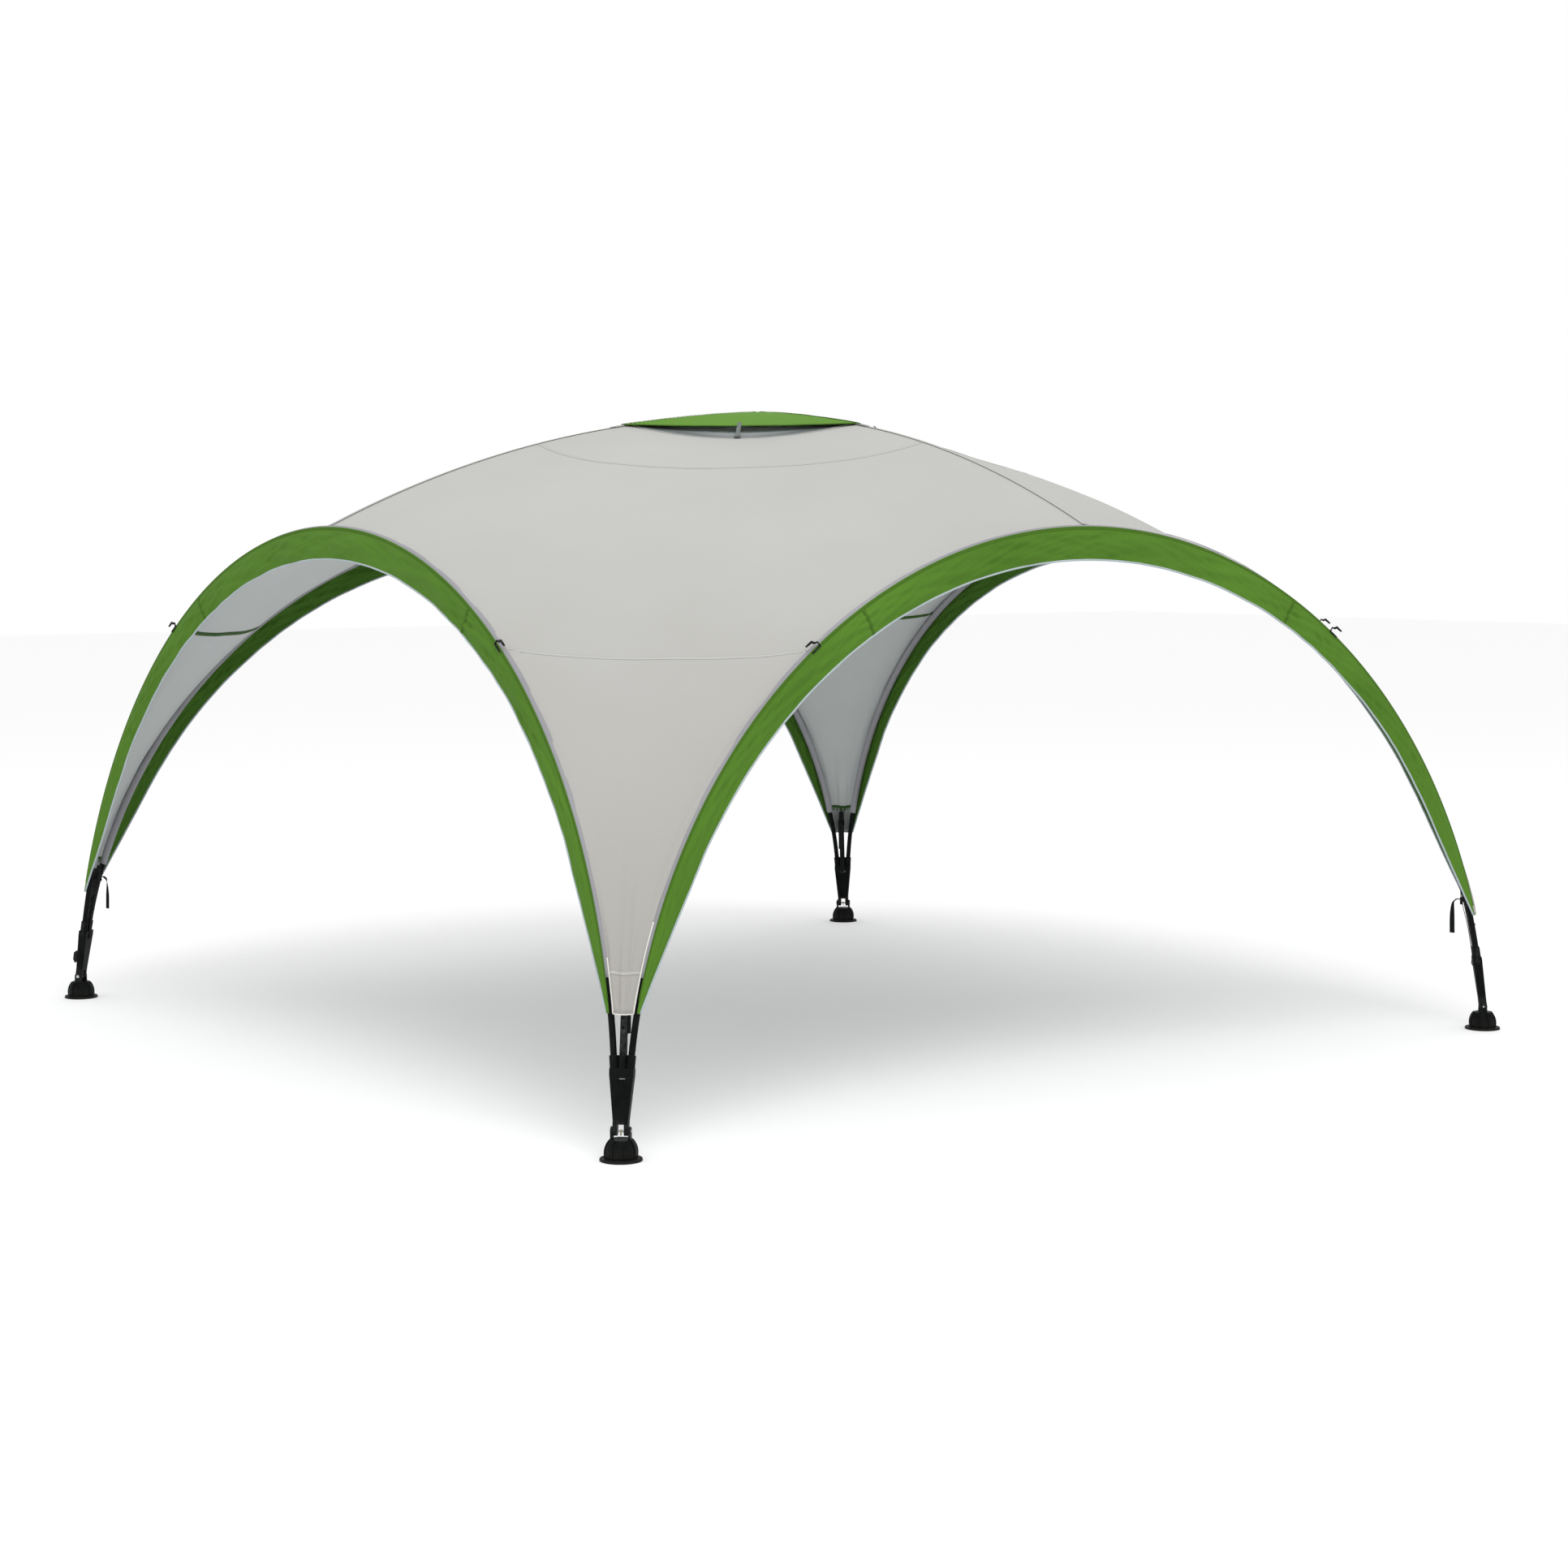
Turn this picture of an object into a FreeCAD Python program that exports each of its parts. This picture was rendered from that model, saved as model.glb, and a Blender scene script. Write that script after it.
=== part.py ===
import FreeCAD, Part
import math
import os

from FreeCAD import Placement, Rotation, Vector

# A four-legged event shelter: four leaning side arches, four roof poles that run from a
# centre hub to the tops of the arches, and a canopy of four corner panels, four arch bands
# and a raised vent cap.  Millimetres, +Z up, origin on the ground under the hub.

# overall sizes
foot_spacing = 3650.0
roof_height = 2153.0
ridge_fall = 385.0
arch_lean_deg = 3.8
arch_outside_corner = 6.5
arch_inside_corner = 5.1

# steel poles and the plastic fittings that hold them
pole_diameter = 19.0
pole_wall = 0.8
fitting_wall = 3.0
fitting_clearance = 0.2
insert_clearance = 0.2
pole_joint_drop = 240.0
pole_joint_gap = 0.5
insert_length = 120.0

# corner leg bracket and its pivot
pin_height = 82.0
pin_diameter = 6.0
pin_head_diameter = 11.0
pin_head_thickness = 3.0
pin_running_clearance = 0.05
leg_width = 44.0
leg_depth = 26.0
leg_top_depth = 31.0
leg_straight_height = 30.0
fork_slot_width = 20.0
fork_slot_height = 20.0
socket_mouth_height = 290.0
socket_depth = 52.0
socket_web_drop = 36.0
strap_slot_height = 226.0
strap_slot_opening = 8.0
ring_radius = 8.0
ring_wire_radius = 1.0

# moulded foot
flange_diameter = 121.0
flange_thickness = 7.0
flange_round = 2.5
bell_base_diameter = 88.0
bell_top_diameter = 62.0
bell_top_height = 60.0
bell_bulge = 6.0
fin_count = 8
fin_thickness = 4.0
fin_height = 3.0
ear_thickness = 6.0
ear_clearance = 0.6
peg_hole_diameter = 8.0
peg_circle_diameter = 106.0
peg_hole_count = 4

# corner strut between the two arch poles, and its spring button
strut_inset = 18.01
strut_top_height = 500.0
button_height = 366.0
button_diameter = 8.0
button_clearance = 0.3
button_proud = 5.0
button_inner_reach = 3.0
stub_length = 90.0
stub_wall = 2.0

# canopy
canopy_thickness = 2.0
canopy_clearance = 0.7
canopy_hem_height = 405.0
panel_split_gap = 0.5
panel_mid_rise = 0.975
panel_mid_reach = 1.008
ridge_sections = 5
arch_sections = 24
band_depth_at_top = 112.0
band_depth_at_shoulder = 73.0
band_shoulder_height = 820.0
band_end_height = 407.0
band_thickness = 2.0
band_clearance = 1.0
vent_radius = 547.0
vent_mid_radius = 465.0
vent_cap_height = 21.0
vent_cap_lift = 5.0
vent_cap_radius = 584.0
vent_cap_thickness = 1.5
mesh_thickness = 1.2
mesh_drop = 0.4
vent_strap_width = 16.0
vent_strap_thickness = 1.5
vent_strap_gap = 0.3
vent_strap_lap = 10.0
vent_strap_reach = 46.0
prop_width = 14.0
prop_thickness = 4.0
prop_eye_radius = 4.0
prop_pin_radius = 1.5
prop_inset = 9.0
prop_cap_outset = 4.5
prop_above_cap = 3.0
clip_base = 2.0
clip_ear = 3.0

# hub
hub_radius = 40.0
hub_above = 16.0
hub_below = 18.0
hub_socket_reach = 84.0
hub_socket_depth = 38.0

# tee at the top of each arch
tee_sleeve_length = 72.0
tee_socket_reach = 50.0
tee_socket_depth = 28.0

# corner webbing and its buckle
webbing_width = 20.0
webbing_thickness = 1.6
buckle_height = 452.0
buckle_width = 28.0
buckle_length = 24.0
buckle_depth = 7.0
buckle_bar = 4.0
strap_tail_length = 127.0
strap_clearance = 3.0

# guy hooks on the arches
hook_drop = 358.0
hook_length = 34.0
hook_reach = 20.0
hook_thickness = 5.0
hook_seat = 9.0

# cord cleat on one leg
cleat_height = 150.0
cleat_length = 46.0
cleat_reach = 18.0
cleat_width = 22.0

# worked out from the sizes above
half_spacing = foot_spacing / 2.0
arch_height = roof_height - ridge_fall
corner_reach = half_spacing * math.sqrt(2.0)
mid_reach = corner_reach * panel_mid_reach
mid_rise = roof_height * panel_mid_rise
pole_radius = pole_diameter / 2.0
bore_radius = pole_radius + fitting_clearance
fitting_radius = bore_radius + fitting_wall
insert_radius = pole_radius - pole_wall - insert_clearance
seam_rise = fitting_radius + canopy_thickness + canopy_clearance
arch_lean = math.radians(arch_lean_deg)
arch_foot_x = half_spacing + pole_radius + arch_outside_corner
pole_half_span = half_spacing - pole_radius - arch_inside_corner
pole_rise = (arch_height - seam_rise) / math.cos(arch_lean)
seam_half_span = pole_half_span + seam_rise
seam_rise_height = pole_rise + seam_rise
band_offset = fitting_radius + band_clearance
arch_top_x = arch_foot_x - arch_height * math.tan(arch_lean)
ridge_radius = (arch_top_x ** 2 + ridge_fall ** 2) / (2.0 * ridge_fall)
ridge_pole_radius = ridge_radius - seam_rise
pin_radius = pin_diameter / 2.0
leg_half = leg_width / 2.0
corners = ["back_right", "back_left", "front_left", "front_right"]
sides = ["right", "back", "left", "front"]


def export(shape, node):
    shape.exportStep(os.path.join("parts", node + ".step"))
    print(node, len(shape.Solids), "solids", round(shape.Volume / 1000.0, 1), "cm3")


def turned(shape, quarter):
    """Copy of a shape made for the first corner or side, a quarter turn per step."""
    copy = shape.copy()
    copy.rotate(Vector(0, 0, 0), Vector(0, 0, 1), 90.0 * quarter)
    return copy


def mirrored(shape):
    """Copy of a shape mirrored across the first corner's diagonal."""
    return shape.mirror(Vector(0, 0, 0), Vector(1, -1, 0))


def joined(shapes):
    return shapes[0].fuse(shapes[1:]).removeSplitter()


def group(shapes):
    return Part.makeCompound(shapes)


# arch geometry: an ellipse in a plane that leans inward, on the +X side

def arch_point(angle, half_span=pole_half_span, rise=pole_rise, offset=0.0):
    """Point on the right arch; angle is from its top, towards +Y."""
    along = rise * math.cos(angle)
    x = arch_foot_x - along * math.sin(arch_lean) + offset * math.cos(arch_lean)
    z = along * math.cos(arch_lean) + offset * math.sin(arch_lean)
    return Vector(x, half_span * math.sin(angle), z)


def arch_angle(height, rise=pole_rise):
    return math.acos(height / (rise * math.cos(arch_lean)))


def arch_tangent(angle):
    """Direction of the pole going up the arch, on the +Y half."""
    step = 1e-4
    return (arch_point(angle - step) - arch_point(angle + step)).normalize()


def arch_plane_normal():
    return Vector(math.cos(arch_lean), 0, math.sin(arch_lean))


def arch_edge(angle_from, angle_to, half_span=pole_half_span, rise=pole_rise, offset=0.0):
    """Ellipse arc between two angles from the top."""
    centre = arch_point(math.pi / 2.0, 0.0, rise, offset)
    top = arch_point(0.0, half_span, rise, offset)
    side = arch_point(math.pi / 2.0, half_span, rise, offset)
    if half_span > rise:
        curve = Part.Ellipse(side, top, centre)
    else:
        curve = Part.Ellipse(top, side, centre)
    ends = [arch_point(a, half_span, rise, offset) for a in (angle_from, angle_to)]
    marks = sorted(curve.parameter(end) for end in ends)
    return Part.ArcOfEllipse(curve, marks[0], marks[1]).toShape()


def tube(spine_edges, outer, inner):
    """Round tube along connected edges, from its outer and inner radii; inner may be 0."""
    spine = Part.Wire(Part.__sortEdges__(spine_edges))
    start = spine.OrderedEdges[0].valueAt(spine.OrderedEdges[0].FirstParameter)
    heading = spine.OrderedEdges[0].tangentAt(spine.OrderedEdges[0].FirstParameter)
    skins = []
    for radius in (outer, inner):
        if radius > 0:
            ring = Part.Wire(Part.makeCircle(radius, start, heading))
            skins.append(spine.makePipeShell([ring], True, False))
    return skins[0] if len(skins) == 1 else skins[0].cut(skins[1])


def rod(start, end, radius):
    return Part.makeCylinder(radius, (end - start).Length, start, end - start)


mouth_angle = arch_angle(socket_mouth_height)
joint_angle = arch_angle(arch_height - pole_joint_drop)
mouth = arch_point(mouth_angle)
mouth_heading = arch_tangent(mouth_angle)
socket_end = mouth - mouth_heading * socket_depth
gap_angle = pole_joint_gap / pole_rise / 2.0
tube_inner = pole_radius - pole_wall


# corner frame: X points out along the diagonal, Y runs across it, origin under the foot

corner_placement = Placement(Vector(half_spacing, half_spacing, 0), Rotation(Vector(0, 0, 1), 45))


def to_corner(shape):
    placed = shape.copy()
    placed.Placement = corner_placement.multiply(placed.Placement)
    return placed


def in_corner_frame(point):
    return corner_placement.inverse().multVec(point)


local_mouth = in_corner_frame(mouth)
leg_axis = Vector(local_mouth.x, 0, socket_mouth_height - pin_height).normalize()
strut_top_out = (mid_reach * math.sin(math.acos(strut_top_height / mid_rise))
                 - corner_reach - strut_inset)
strut_slope = (local_mouth.x - strut_top_out) / (strut_top_height - socket_mouth_height)


def strut_point(height):
    """Point on the corner strut's centre line, in the corner frame."""
    return Vector(local_mouth.x - (height - socket_mouth_height) * strut_slope, 0, height)


def leg_section(height, width, depth):
    """Rectangle across the leg, at a height above the pin measured along the leg."""
    centre = Vector(0, 0, pin_height) + leg_axis * height
    across = Vector(0, 1, 0)
    out = Vector(leg_axis.z, 0, -leg_axis.x)
    signs = [(1, 1), (-1, 1), (-1, -1), (1, -1), (1, 1)]
    points = [centre + out * (a * depth / 2.0) + across * (b * width / 2.0) for a, b in signs]
    return Part.makePolygon(points)


def leg_bracket():
    """Forked leg with two pole sockets, in the corner frame."""
    mouth_here = in_corner_frame(mouth)
    end_here = in_corner_frame(socket_end)
    top_height = (end_here - Vector(0, 0, pin_height)).dot(leg_axis)
    top_width = 2.0 * (abs(end_here.y) + fitting_radius)
    knuckle = rod(Vector(0, -leg_half, pin_height), Vector(0, leg_half, pin_height), leg_depth / 2.0)
    shank = Part.makeLoft([leg_section(0, leg_width, leg_depth),
                           leg_section(leg_straight_height, leg_width, leg_depth)], True, True)
    body = Part.makeLoft([leg_section(leg_straight_height, leg_width, leg_depth),
                          leg_section(top_height, top_width, leg_top_depth),
                          leg_section(top_height + socket_depth - socket_web_drop, top_width,
                                      leg_top_depth)], True, True)
    pieces = [knuckle, shank, body]
    bores = []
    sockets = [(Vector(end_here.x, side * end_here.y, end_here.z),
                Vector(mouth_here.x, side * mouth_here.y, mouth_here.z)) for side in (1, -1)]
    sockets.append((strut_point(end_here.z), strut_point(mouth_here.z)))
    for low, high in sockets:
        heading = (high - low).normalize()
        pieces.append(rod(low - heading * fitting_wall, high, fitting_radius))
        bores.append(rod(low, high + heading * fitting_wall, bore_radius))
    leg = joined(pieces)
    slot_base = pin_height - leg_depth
    slot_tall = leg_depth + fork_slot_height
    slot = Part.makeBox(3 * leg_depth, fork_slot_width, slot_tall,
                        Vector(-1.5 * leg_depth, -fork_slot_width / 2.0, slot_base))
    pin_bore = rod(Vector(0, -leg_width, pin_height), Vector(0, leg_width, pin_height),
                   pin_radius + pin_running_clearance)
    strap_width = webbing_width + 2.0
    strap_slot = Part.makeBox(4 * leg_top_depth, strap_width, strap_slot_opening,
                              Vector(-2.5 * leg_top_depth, -strap_width / 2.0,
                                     strap_slot_height - strap_slot_opening / 2.0))
    return leg.cut(bores + [slot, pin_bore, strap_slot])


def foot_profile(extra):
    """Solid of revolution for the bell, grown by extra."""
    base = Vector(bell_base_diameter / 2.0 + extra, 0, flange_thickness - 1.0)
    top = Vector(bell_top_diameter / 2.0 + extra, 0, bell_top_height)
    middle = (base + top) * 0.5 + Vector(bell_bulge, 0, bell_bulge)
    side = Part.Arc(base, middle, top).toShape()
    lines = [Part.makeLine(top, Vector(0, 0, top.z)),
             Part.makeLine(Vector(0, 0, top.z), Vector(0, 0, base.z)),
             Part.makeLine(Vector(0, 0, base.z), base)]
    outline = Part.Face(Part.Wire([side] + lines))
    return outline.revolve(Vector(0, 0, 0), Vector(0, 0, 1), 360)


def foot_base():
    """Bell with fins on a round flange, with two ears for the pivot pin."""
    flange = Part.makeCylinder(flange_diameter / 2.0, flange_thickness)
    rim = [e for e in flange.Edges if e.Closed and e.CenterOfMass.z > flange_thickness / 2.0]
    flange = flange.makeFillet(flange_round, rim)
    ear_inner = leg_half + ear_clearance
    ear_outer = ear_inner + ear_thickness
    pieces = [flange, foot_profile(0.0)]
    fin_bell = foot_profile(fin_height)
    for step in range(fin_count // 2):
        plate = Part.makeBox(flange_diameter, fin_thickness, bell_top_height,
                             Vector(-flange_diameter / 2.0, -fin_thickness / 2.0, 0))
        plate.rotate(Vector(0, 0, 0), Vector(0, 0, 1), 360.0 / fin_count * (step + 0.5))
        pieces.append(fin_bell.common(plate))
    for side in (1, -1):
        low_y = ear_inner if side > 0 else -ear_outer
        plate = Part.makeBox(leg_depth, ear_thickness, pin_height - bell_top_height + 2.0,
                             Vector(-leg_depth / 2.0, low_y, bell_top_height - 2.0))
        pieces.append(plate)
        pieces.append(rod(Vector(0, low_y, pin_height), Vector(0, low_y + ear_thickness, pin_height),
                          leg_depth / 2.0))
    body = joined(pieces)
    cuts = [rod(Vector(0, -flange_diameter, pin_height), Vector(0, flange_diameter, pin_height),
                pin_radius + pin_running_clearance)]
    for step in range(peg_hole_count):
        turn = 2.0 * math.pi * step / peg_hole_count
        x = peg_circle_diameter / 2.0 * math.cos(turn)
        y = peg_circle_diameter / 2.0 * math.sin(turn)
        cuts.append(Part.makeCylinder(peg_hole_diameter / 2.0, 3 * flange_thickness,
                                      Vector(x, y, -flange_thickness)))
    return body.cut(cuts)


def foot_pin():
    """Clevis pin across the fork, with a head outside one ear."""
    reach = leg_half + ear_clearance + ear_thickness + 0.4
    shank = rod(Vector(0, -reach - 2.0, pin_height), Vector(0, reach, pin_height), pin_radius)
    head = rod(Vector(0, reach, pin_height), Vector(0, reach + pin_head_thickness, pin_height),
               pin_head_diameter / 2.0)
    return joined([shank, head])


def pin_ring():
    """Split ring that hangs on the pin in the fork's gap."""
    inner = ring_radius - ring_wire_radius
    centre = Vector(0, 0, pin_height + pin_radius + 0.3 - inner)
    return Part.makeTorus(ring_radius, ring_wire_radius, centre, Vector(0, 1, 0))


def cleat():
    """Cord cleat on the outer face of a leg."""
    out = Vector(leg_axis.z, 0, -leg_axis.x)
    foot = Vector(0, 0, cleat_height) + out * (leg_top_depth / 2.0 + 0.2)
    foot = foot + Vector(leg_axis.x, 0, 0) * (cleat_height - pin_height)
    half = cleat_length / 2.0
    profile = [(0, -0.3), (0.55, -1.0), (1.0, -0.45), (1.0, 0.7), (0.6, 1.0), (0, 0.75), (0, -0.3)]
    points = [foot + out * (a * cleat_reach) + leg_axis * (b * half) for a, b in profile]
    face = Part.Face(Part.makePolygon([p - Vector(0, cleat_width / 2.0, 0) for p in points]))
    return face.extrude(Vector(0, cleat_width, 0))


# poles

def button_seat():
    """Centre of the strut at its button, and the way the button points, in the corner frame."""
    heading = (strut_point(strut_top_height) - strut_point(button_height)).normalize()
    return strut_point(button_height), Vector(heading.z, 0, -heading.x)


def button_hole():
    centre, outward = button_seat()
    return rod(centre - outward * 2.0, centre + outward * 2 * pole_diameter,
               button_diameter / 2.0 + button_clearance)


def arch_leg_pole():
    """Lower pole of the right arch, +Y half: straight in its socket, then along the arch."""
    straight = Part.makeLine(socket_end + mouth_heading, mouth)
    curve = arch_edge(joint_angle + gap_angle, mouth_angle)
    return tube([straight, curve], pole_radius, tube_inner)


def corner_strut():
    """Short middle pole from the bracket up behind the corner panel."""
    low = strut_point(in_corner_frame(socket_end).z + 1.0)
    high = strut_point(strut_top_height)
    outer = rod(low, high, pole_radius)
    return outer.cut([rod(low, high, tube_inner), button_hole()])


def arch_crown_pole():
    curve = arch_edge(-joint_angle + gap_angle, joint_angle - gap_angle)
    return tube([curve], pole_radius, tube_inner)


def arch_insert(angle):
    half = insert_length / 2.0 / pole_rise
    return tube([arch_edge(angle - half, angle + half)], insert_radius, 0)


def stub():
    """Inner tube that carries the button, inside the strut."""
    low = strut_point(button_height - stub_length / 2.0)
    high = strut_point(button_height + stub_length / 2.0)
    outer = rod(low, high, insert_radius)
    return outer.cut([rod(low, high, insert_radius - stub_wall), button_hole()])


def pole_button():
    centre, outward = button_seat()
    tip = pole_radius + button_proud
    start = centre + outward * button_inner_reach
    body = rod(start, centre + outward * tip, button_diameter / 2.0)
    edge = [e for e in body.Edges if e.Closed and (e.CenterOfMass - centre).dot(outward) > tip - 0.1]
    return body.makeFillet(1.5, edge)


def ridge_point(radius_out, line_radius):
    """Point on the roof ridge over the +X side, at a plan radius."""
    centre_z = roof_height - ridge_radius
    return Vector(radius_out, 0, centre_z + math.sqrt(line_radius ** 2 - radius_out ** 2))


def ridge_heading(radius_out):
    step = 0.01
    low = ridge_point(radius_out - step, ridge_pole_radius)
    high = ridge_point(radius_out + step, ridge_pole_radius)
    return (high - low).normalize()


tee_centre = arch_point(0.0)


def ridge_pole():
    start = hub_socket_reach - hub_socket_depth + 1.0
    slope = ridge_heading(tee_centre.x - tee_socket_reach)
    end = tee_centre.x - tee_socket_reach + (tee_socket_depth - 1.0) * slope.x
    points = [ridge_point(r, ridge_pole_radius) for r in (start, (start + end) / 2.0, end)]
    return tube([Part.Arc(*points).toShape()], pole_radius, tube_inner)


def arch_tee():
    """Sleeve round the crown pole with a socket for the roof pole."""
    half = tee_sleeve_length / 2.0 / pole_half_span
    sleeve = tube([arch_edge(-half, half)], fitting_radius, 0)
    heading = ridge_heading(tee_centre.x - tee_socket_reach)
    inner_end = ridge_point(tee_centre.x - tee_socket_reach, ridge_pole_radius)
    socket = rod(inner_end, inner_end + heading * tee_socket_reach, fitting_radius)
    crown_bore = tube([arch_edge(-2 * half, 2 * half)], bore_radius, 0)
    pole_bore = rod(inner_end - heading, inner_end + heading * tee_socket_depth, bore_radius)
    return joined([sleeve, socket]).cut([crown_bore, pole_bore])


def hub():
    """Round centre block with four sockets."""
    centre_z = ridge_point(0.0, ridge_pole_radius).z
    block = Part.makeCylinder(hub_radius, hub_above + hub_below,
                              Vector(0, 0, centre_z - hub_below))
    arms = []
    bores = []
    for quarter in range(4):
        mouth_here = ridge_point(hub_socket_reach, ridge_pole_radius)
        heading = ridge_heading(hub_socket_reach)
        arm = rod(mouth_here - heading * (hub_socket_reach - 8.0), mouth_here, fitting_radius)
        bore = rod(mouth_here - heading * hub_socket_depth, mouth_here + heading, bore_radius)
        arms.append(turned(arm, quarter))
        bores.append(turned(bore, quarter))
    return joined([block] + arms).cut(bores)


# canopy

hem_angle = arch_angle(canopy_hem_height, seam_rise_height)
panel_edge_offset = band_offset - 0.5
ridge_top_radius = arch_top_x
ridge_share = (ridge_top_radius - vent_radius) / (
    ridge_top_radius - vent_radius + hem_angle * (seam_half_span + seam_rise_height) / 2.0)
mid_start = math.asin(vent_mid_radius / mid_reach)
mid_end = math.acos(canopy_hem_height / mid_rise)


def panel_edge(share):
    """Edge of the first corner's panel: along the ridge, then down the right arch."""
    if share < ridge_share:
        reach = vent_radius + (ridge_top_radius - vent_radius) * share / ridge_share
        return ridge_point(reach, ridge_radius) + Vector(0, panel_split_gap, 0)
    angle = hem_angle * (share - ridge_share) / (1.0 - ridge_share)
    point = arch_point(angle, seam_half_span, seam_rise_height, panel_edge_offset)
    return point + Vector(0, panel_split_gap * math.cos(angle), 0)


def panel_middle(share):
    """Line down the middle of the first corner's panel, over the diagonal."""
    angle = mid_start + (mid_end - mid_start) * share
    reach = mid_reach * math.sin(angle) / math.sqrt(2.0)
    return Vector(reach, reach, mid_rise * math.cos(angle))


def swapped(point):
    return Vector(point.y, point.x, point.z)


def panel_point(share, across):
    """Point on the panel's outer face; across runs from -1 to 1."""
    near = panel_edge(share)
    far = swapped(near)
    middle = panel_middle(share)
    return (middle * (1.0 - across ** 2) + near * (across * (across - 1.0) / 2.0)
            + far * (across * (across + 1.0) / 2.0))


def panel_normal(share, across):
    low = max(share - 0.02, 0.0)
    high = min(share + 0.02, 1.0)
    left = max(across - 0.05, -1.0)
    right = min(across + 0.05, 1.0)
    down = panel_point(high, across) - panel_point(low, across)
    over = panel_point(share, right) - panel_point(share, left)
    normal = down.cross(over).normalize()
    return normal if normal.dot(Vector(0.5, 0.5, 1.0)) > 0 else normal * -1.0


def bowed(start, middle, end):
    """Parabola through three points."""
    curve = Part.BezierCurve()
    curve.setPoles([start, middle * 2.0 - (start + end) * 0.5, end])
    return curve.toShape()


def panel_faces_at(share):
    """Three points across the panel on its outer face, and three on its inner face."""
    outer = [panel_point(share, a) for a in (-1.0, 0.0, 1.0)]
    inner = [p - panel_normal(share, a) * canopy_thickness
             for p, a in zip(outer, (-1.0, 0.0, 1.0))]
    return outer, inner


def panel_section(share):
    outer, inner = panel_faces_at(share)
    return Part.Wire([bowed(*outer), Part.makeLine(outer[2], inner[2]),
                      bowed(inner[2], inner[1], inner[0]), Part.makeLine(inner[0], outer[0])])


def panel_end(share):
    outer, inner = panel_faces_at(share)
    return Part.makeRuledSurface(bowed(*outer), bowed(*inner))


def roof_panel():
    """Thin closed skin through the sections, with its two ends capped."""
    shares = [ridge_share * step / ridge_sections for step in range(ridge_sections)]
    shares += [ridge_share + (1.0 - ridge_share) * step / arch_sections
               for step in range(arch_sections + 1)]
    skin = Part.makeLoft([panel_section(share) for share in shares], False, True)
    shell = Part.Compound(skin.Faces + [panel_end(0.0), panel_end(1.0)])
    shell.sewShape(1e-4)
    return Part.Solid(shell.Shells[0])


def band_edge_point(angle, half_span, rise):
    return arch_point(angle, half_span, rise, band_offset)


def arch_band():
    """Flat band that hangs from the arch's top seam, narrowing towards both feet."""
    low_rise = seam_rise_height - band_depth_at_top
    low_half = seam_half_span - band_depth_at_shoulder
    top_angle = arch_angle(band_end_height, seam_rise_height)
    shoulder = arch_angle(band_shoulder_height, low_rise)
    upper = arch_edge(-top_angle, top_angle, seam_half_span, seam_rise_height, band_offset)
    lower = arch_edge(-shoulder, shoulder, low_half, low_rise, band_offset)
    edges = [upper, lower]
    for side in (1, -1):
        inner = band_edge_point(side * shoulder, low_half, low_rise)
        tip = band_edge_point(side * top_angle, seam_half_span, seam_rise_height)
        toe = tip - Vector(0, side * 8.0, 0)
        edges += [Part.makeLine(inner, toe), Part.makeLine(toe, tip)]
    outline = Part.Wire(Part.__sortEdges__(edges))
    return Part.Face(outline).extrude(arch_plane_normal() * band_thickness)


def thin_sheet(triangles, thickness):
    """Closed sheet from triangles, thickened straight down."""
    prisms = []
    for corners_of in triangles:
        face = Part.Face(Part.makePolygon(list(corners_of) + [corners_of[0]]))
        prisms.append(face.extrude(Vector(0, 0, -thickness)))
    return prisms[0].fuse(prisms[1:]).removeSplitter()


def ring_points(axis_radius, axis_height, mid_radius, mid_height):
    """Eight points round the hub, over the ridges and over the diagonals in turn."""
    points = []
    for step in range(8):
        turn = math.pi / 4.0 * step
        reach, height = (axis_radius, axis_height) if step % 2 == 0 else (mid_radius, mid_height)
        points.append(Vector(reach * math.cos(turn), reach * math.sin(turn), height))
    return points


def between_rings(inner, outer):
    triangles = []
    for step in range(8):
        after = (step + 1) % 8
        triangles.append((inner[step], outer[step], outer[after]))
        triangles.append((inner[step], outer[after], inner[after]))
    return triangles


def ridge_height(radius_out):
    return ridge_point(radius_out, ridge_radius).z


def vent_mesh():
    """Net over the vent opening, from a collar round the hub out to the panels."""
    collar = fitting_radius + hub_radius
    middle_height = mid_rise * math.cos(mid_start) - mesh_drop
    rings = []
    for part in (0.0, 0.5, 1.0):
        reach = collar + (vent_radius - 1.5 - collar) * part
        mid = collar + (vent_mid_radius - 1.5 - collar) * part
        height = ridge_height(reach) - mesh_drop
        centre_height = ridge_height(collar) - mesh_drop
        mid_height = centre_height + (middle_height - centre_height) * part ** 1.3
        rings.append(ring_points(reach, height, mid, mid_height))
    return thin_sheet(between_rings(rings[0], rings[1]) + between_rings(rings[1], rings[2]),
                      mesh_thickness)


cap_corner_height = ridge_height(vent_cap_radius) + canopy_thickness + vent_cap_lift
cap_top = roof_height + vent_cap_height


def vent_cap():
    """Four-cornered cap over the vent, corners above the ridges."""
    top = Vector(0, 0, cap_top)
    tips = [Vector(vent_cap_radius * math.cos(math.pi / 2.0 * step),
                   vent_cap_radius * math.sin(math.pi / 2.0 * step), cap_corner_height)
            for step in range(4)]
    return thin_sheet([(top, tips[step], tips[(step + 1) % 4]) for step in range(4)],
                      vent_cap_thickness)


def vent_edge():
    """Middle of the first panel's vent edge, with the ways out and up along its surface."""
    seat = panel_middle(0.0)
    away = (panel_middle(0.05) - seat).normalize()
    across = Vector(1, -1, 0).normalize()
    up = away.cross(across).normalize()
    return seat, away, across, (up if up.z > 0 else up * -1.0)


def prop_pivot():
    seat, away, across, up = vent_edge()
    return seat + away * prop_inset + up * (prop_eye_radius + 2.0 * clip_base)


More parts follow.
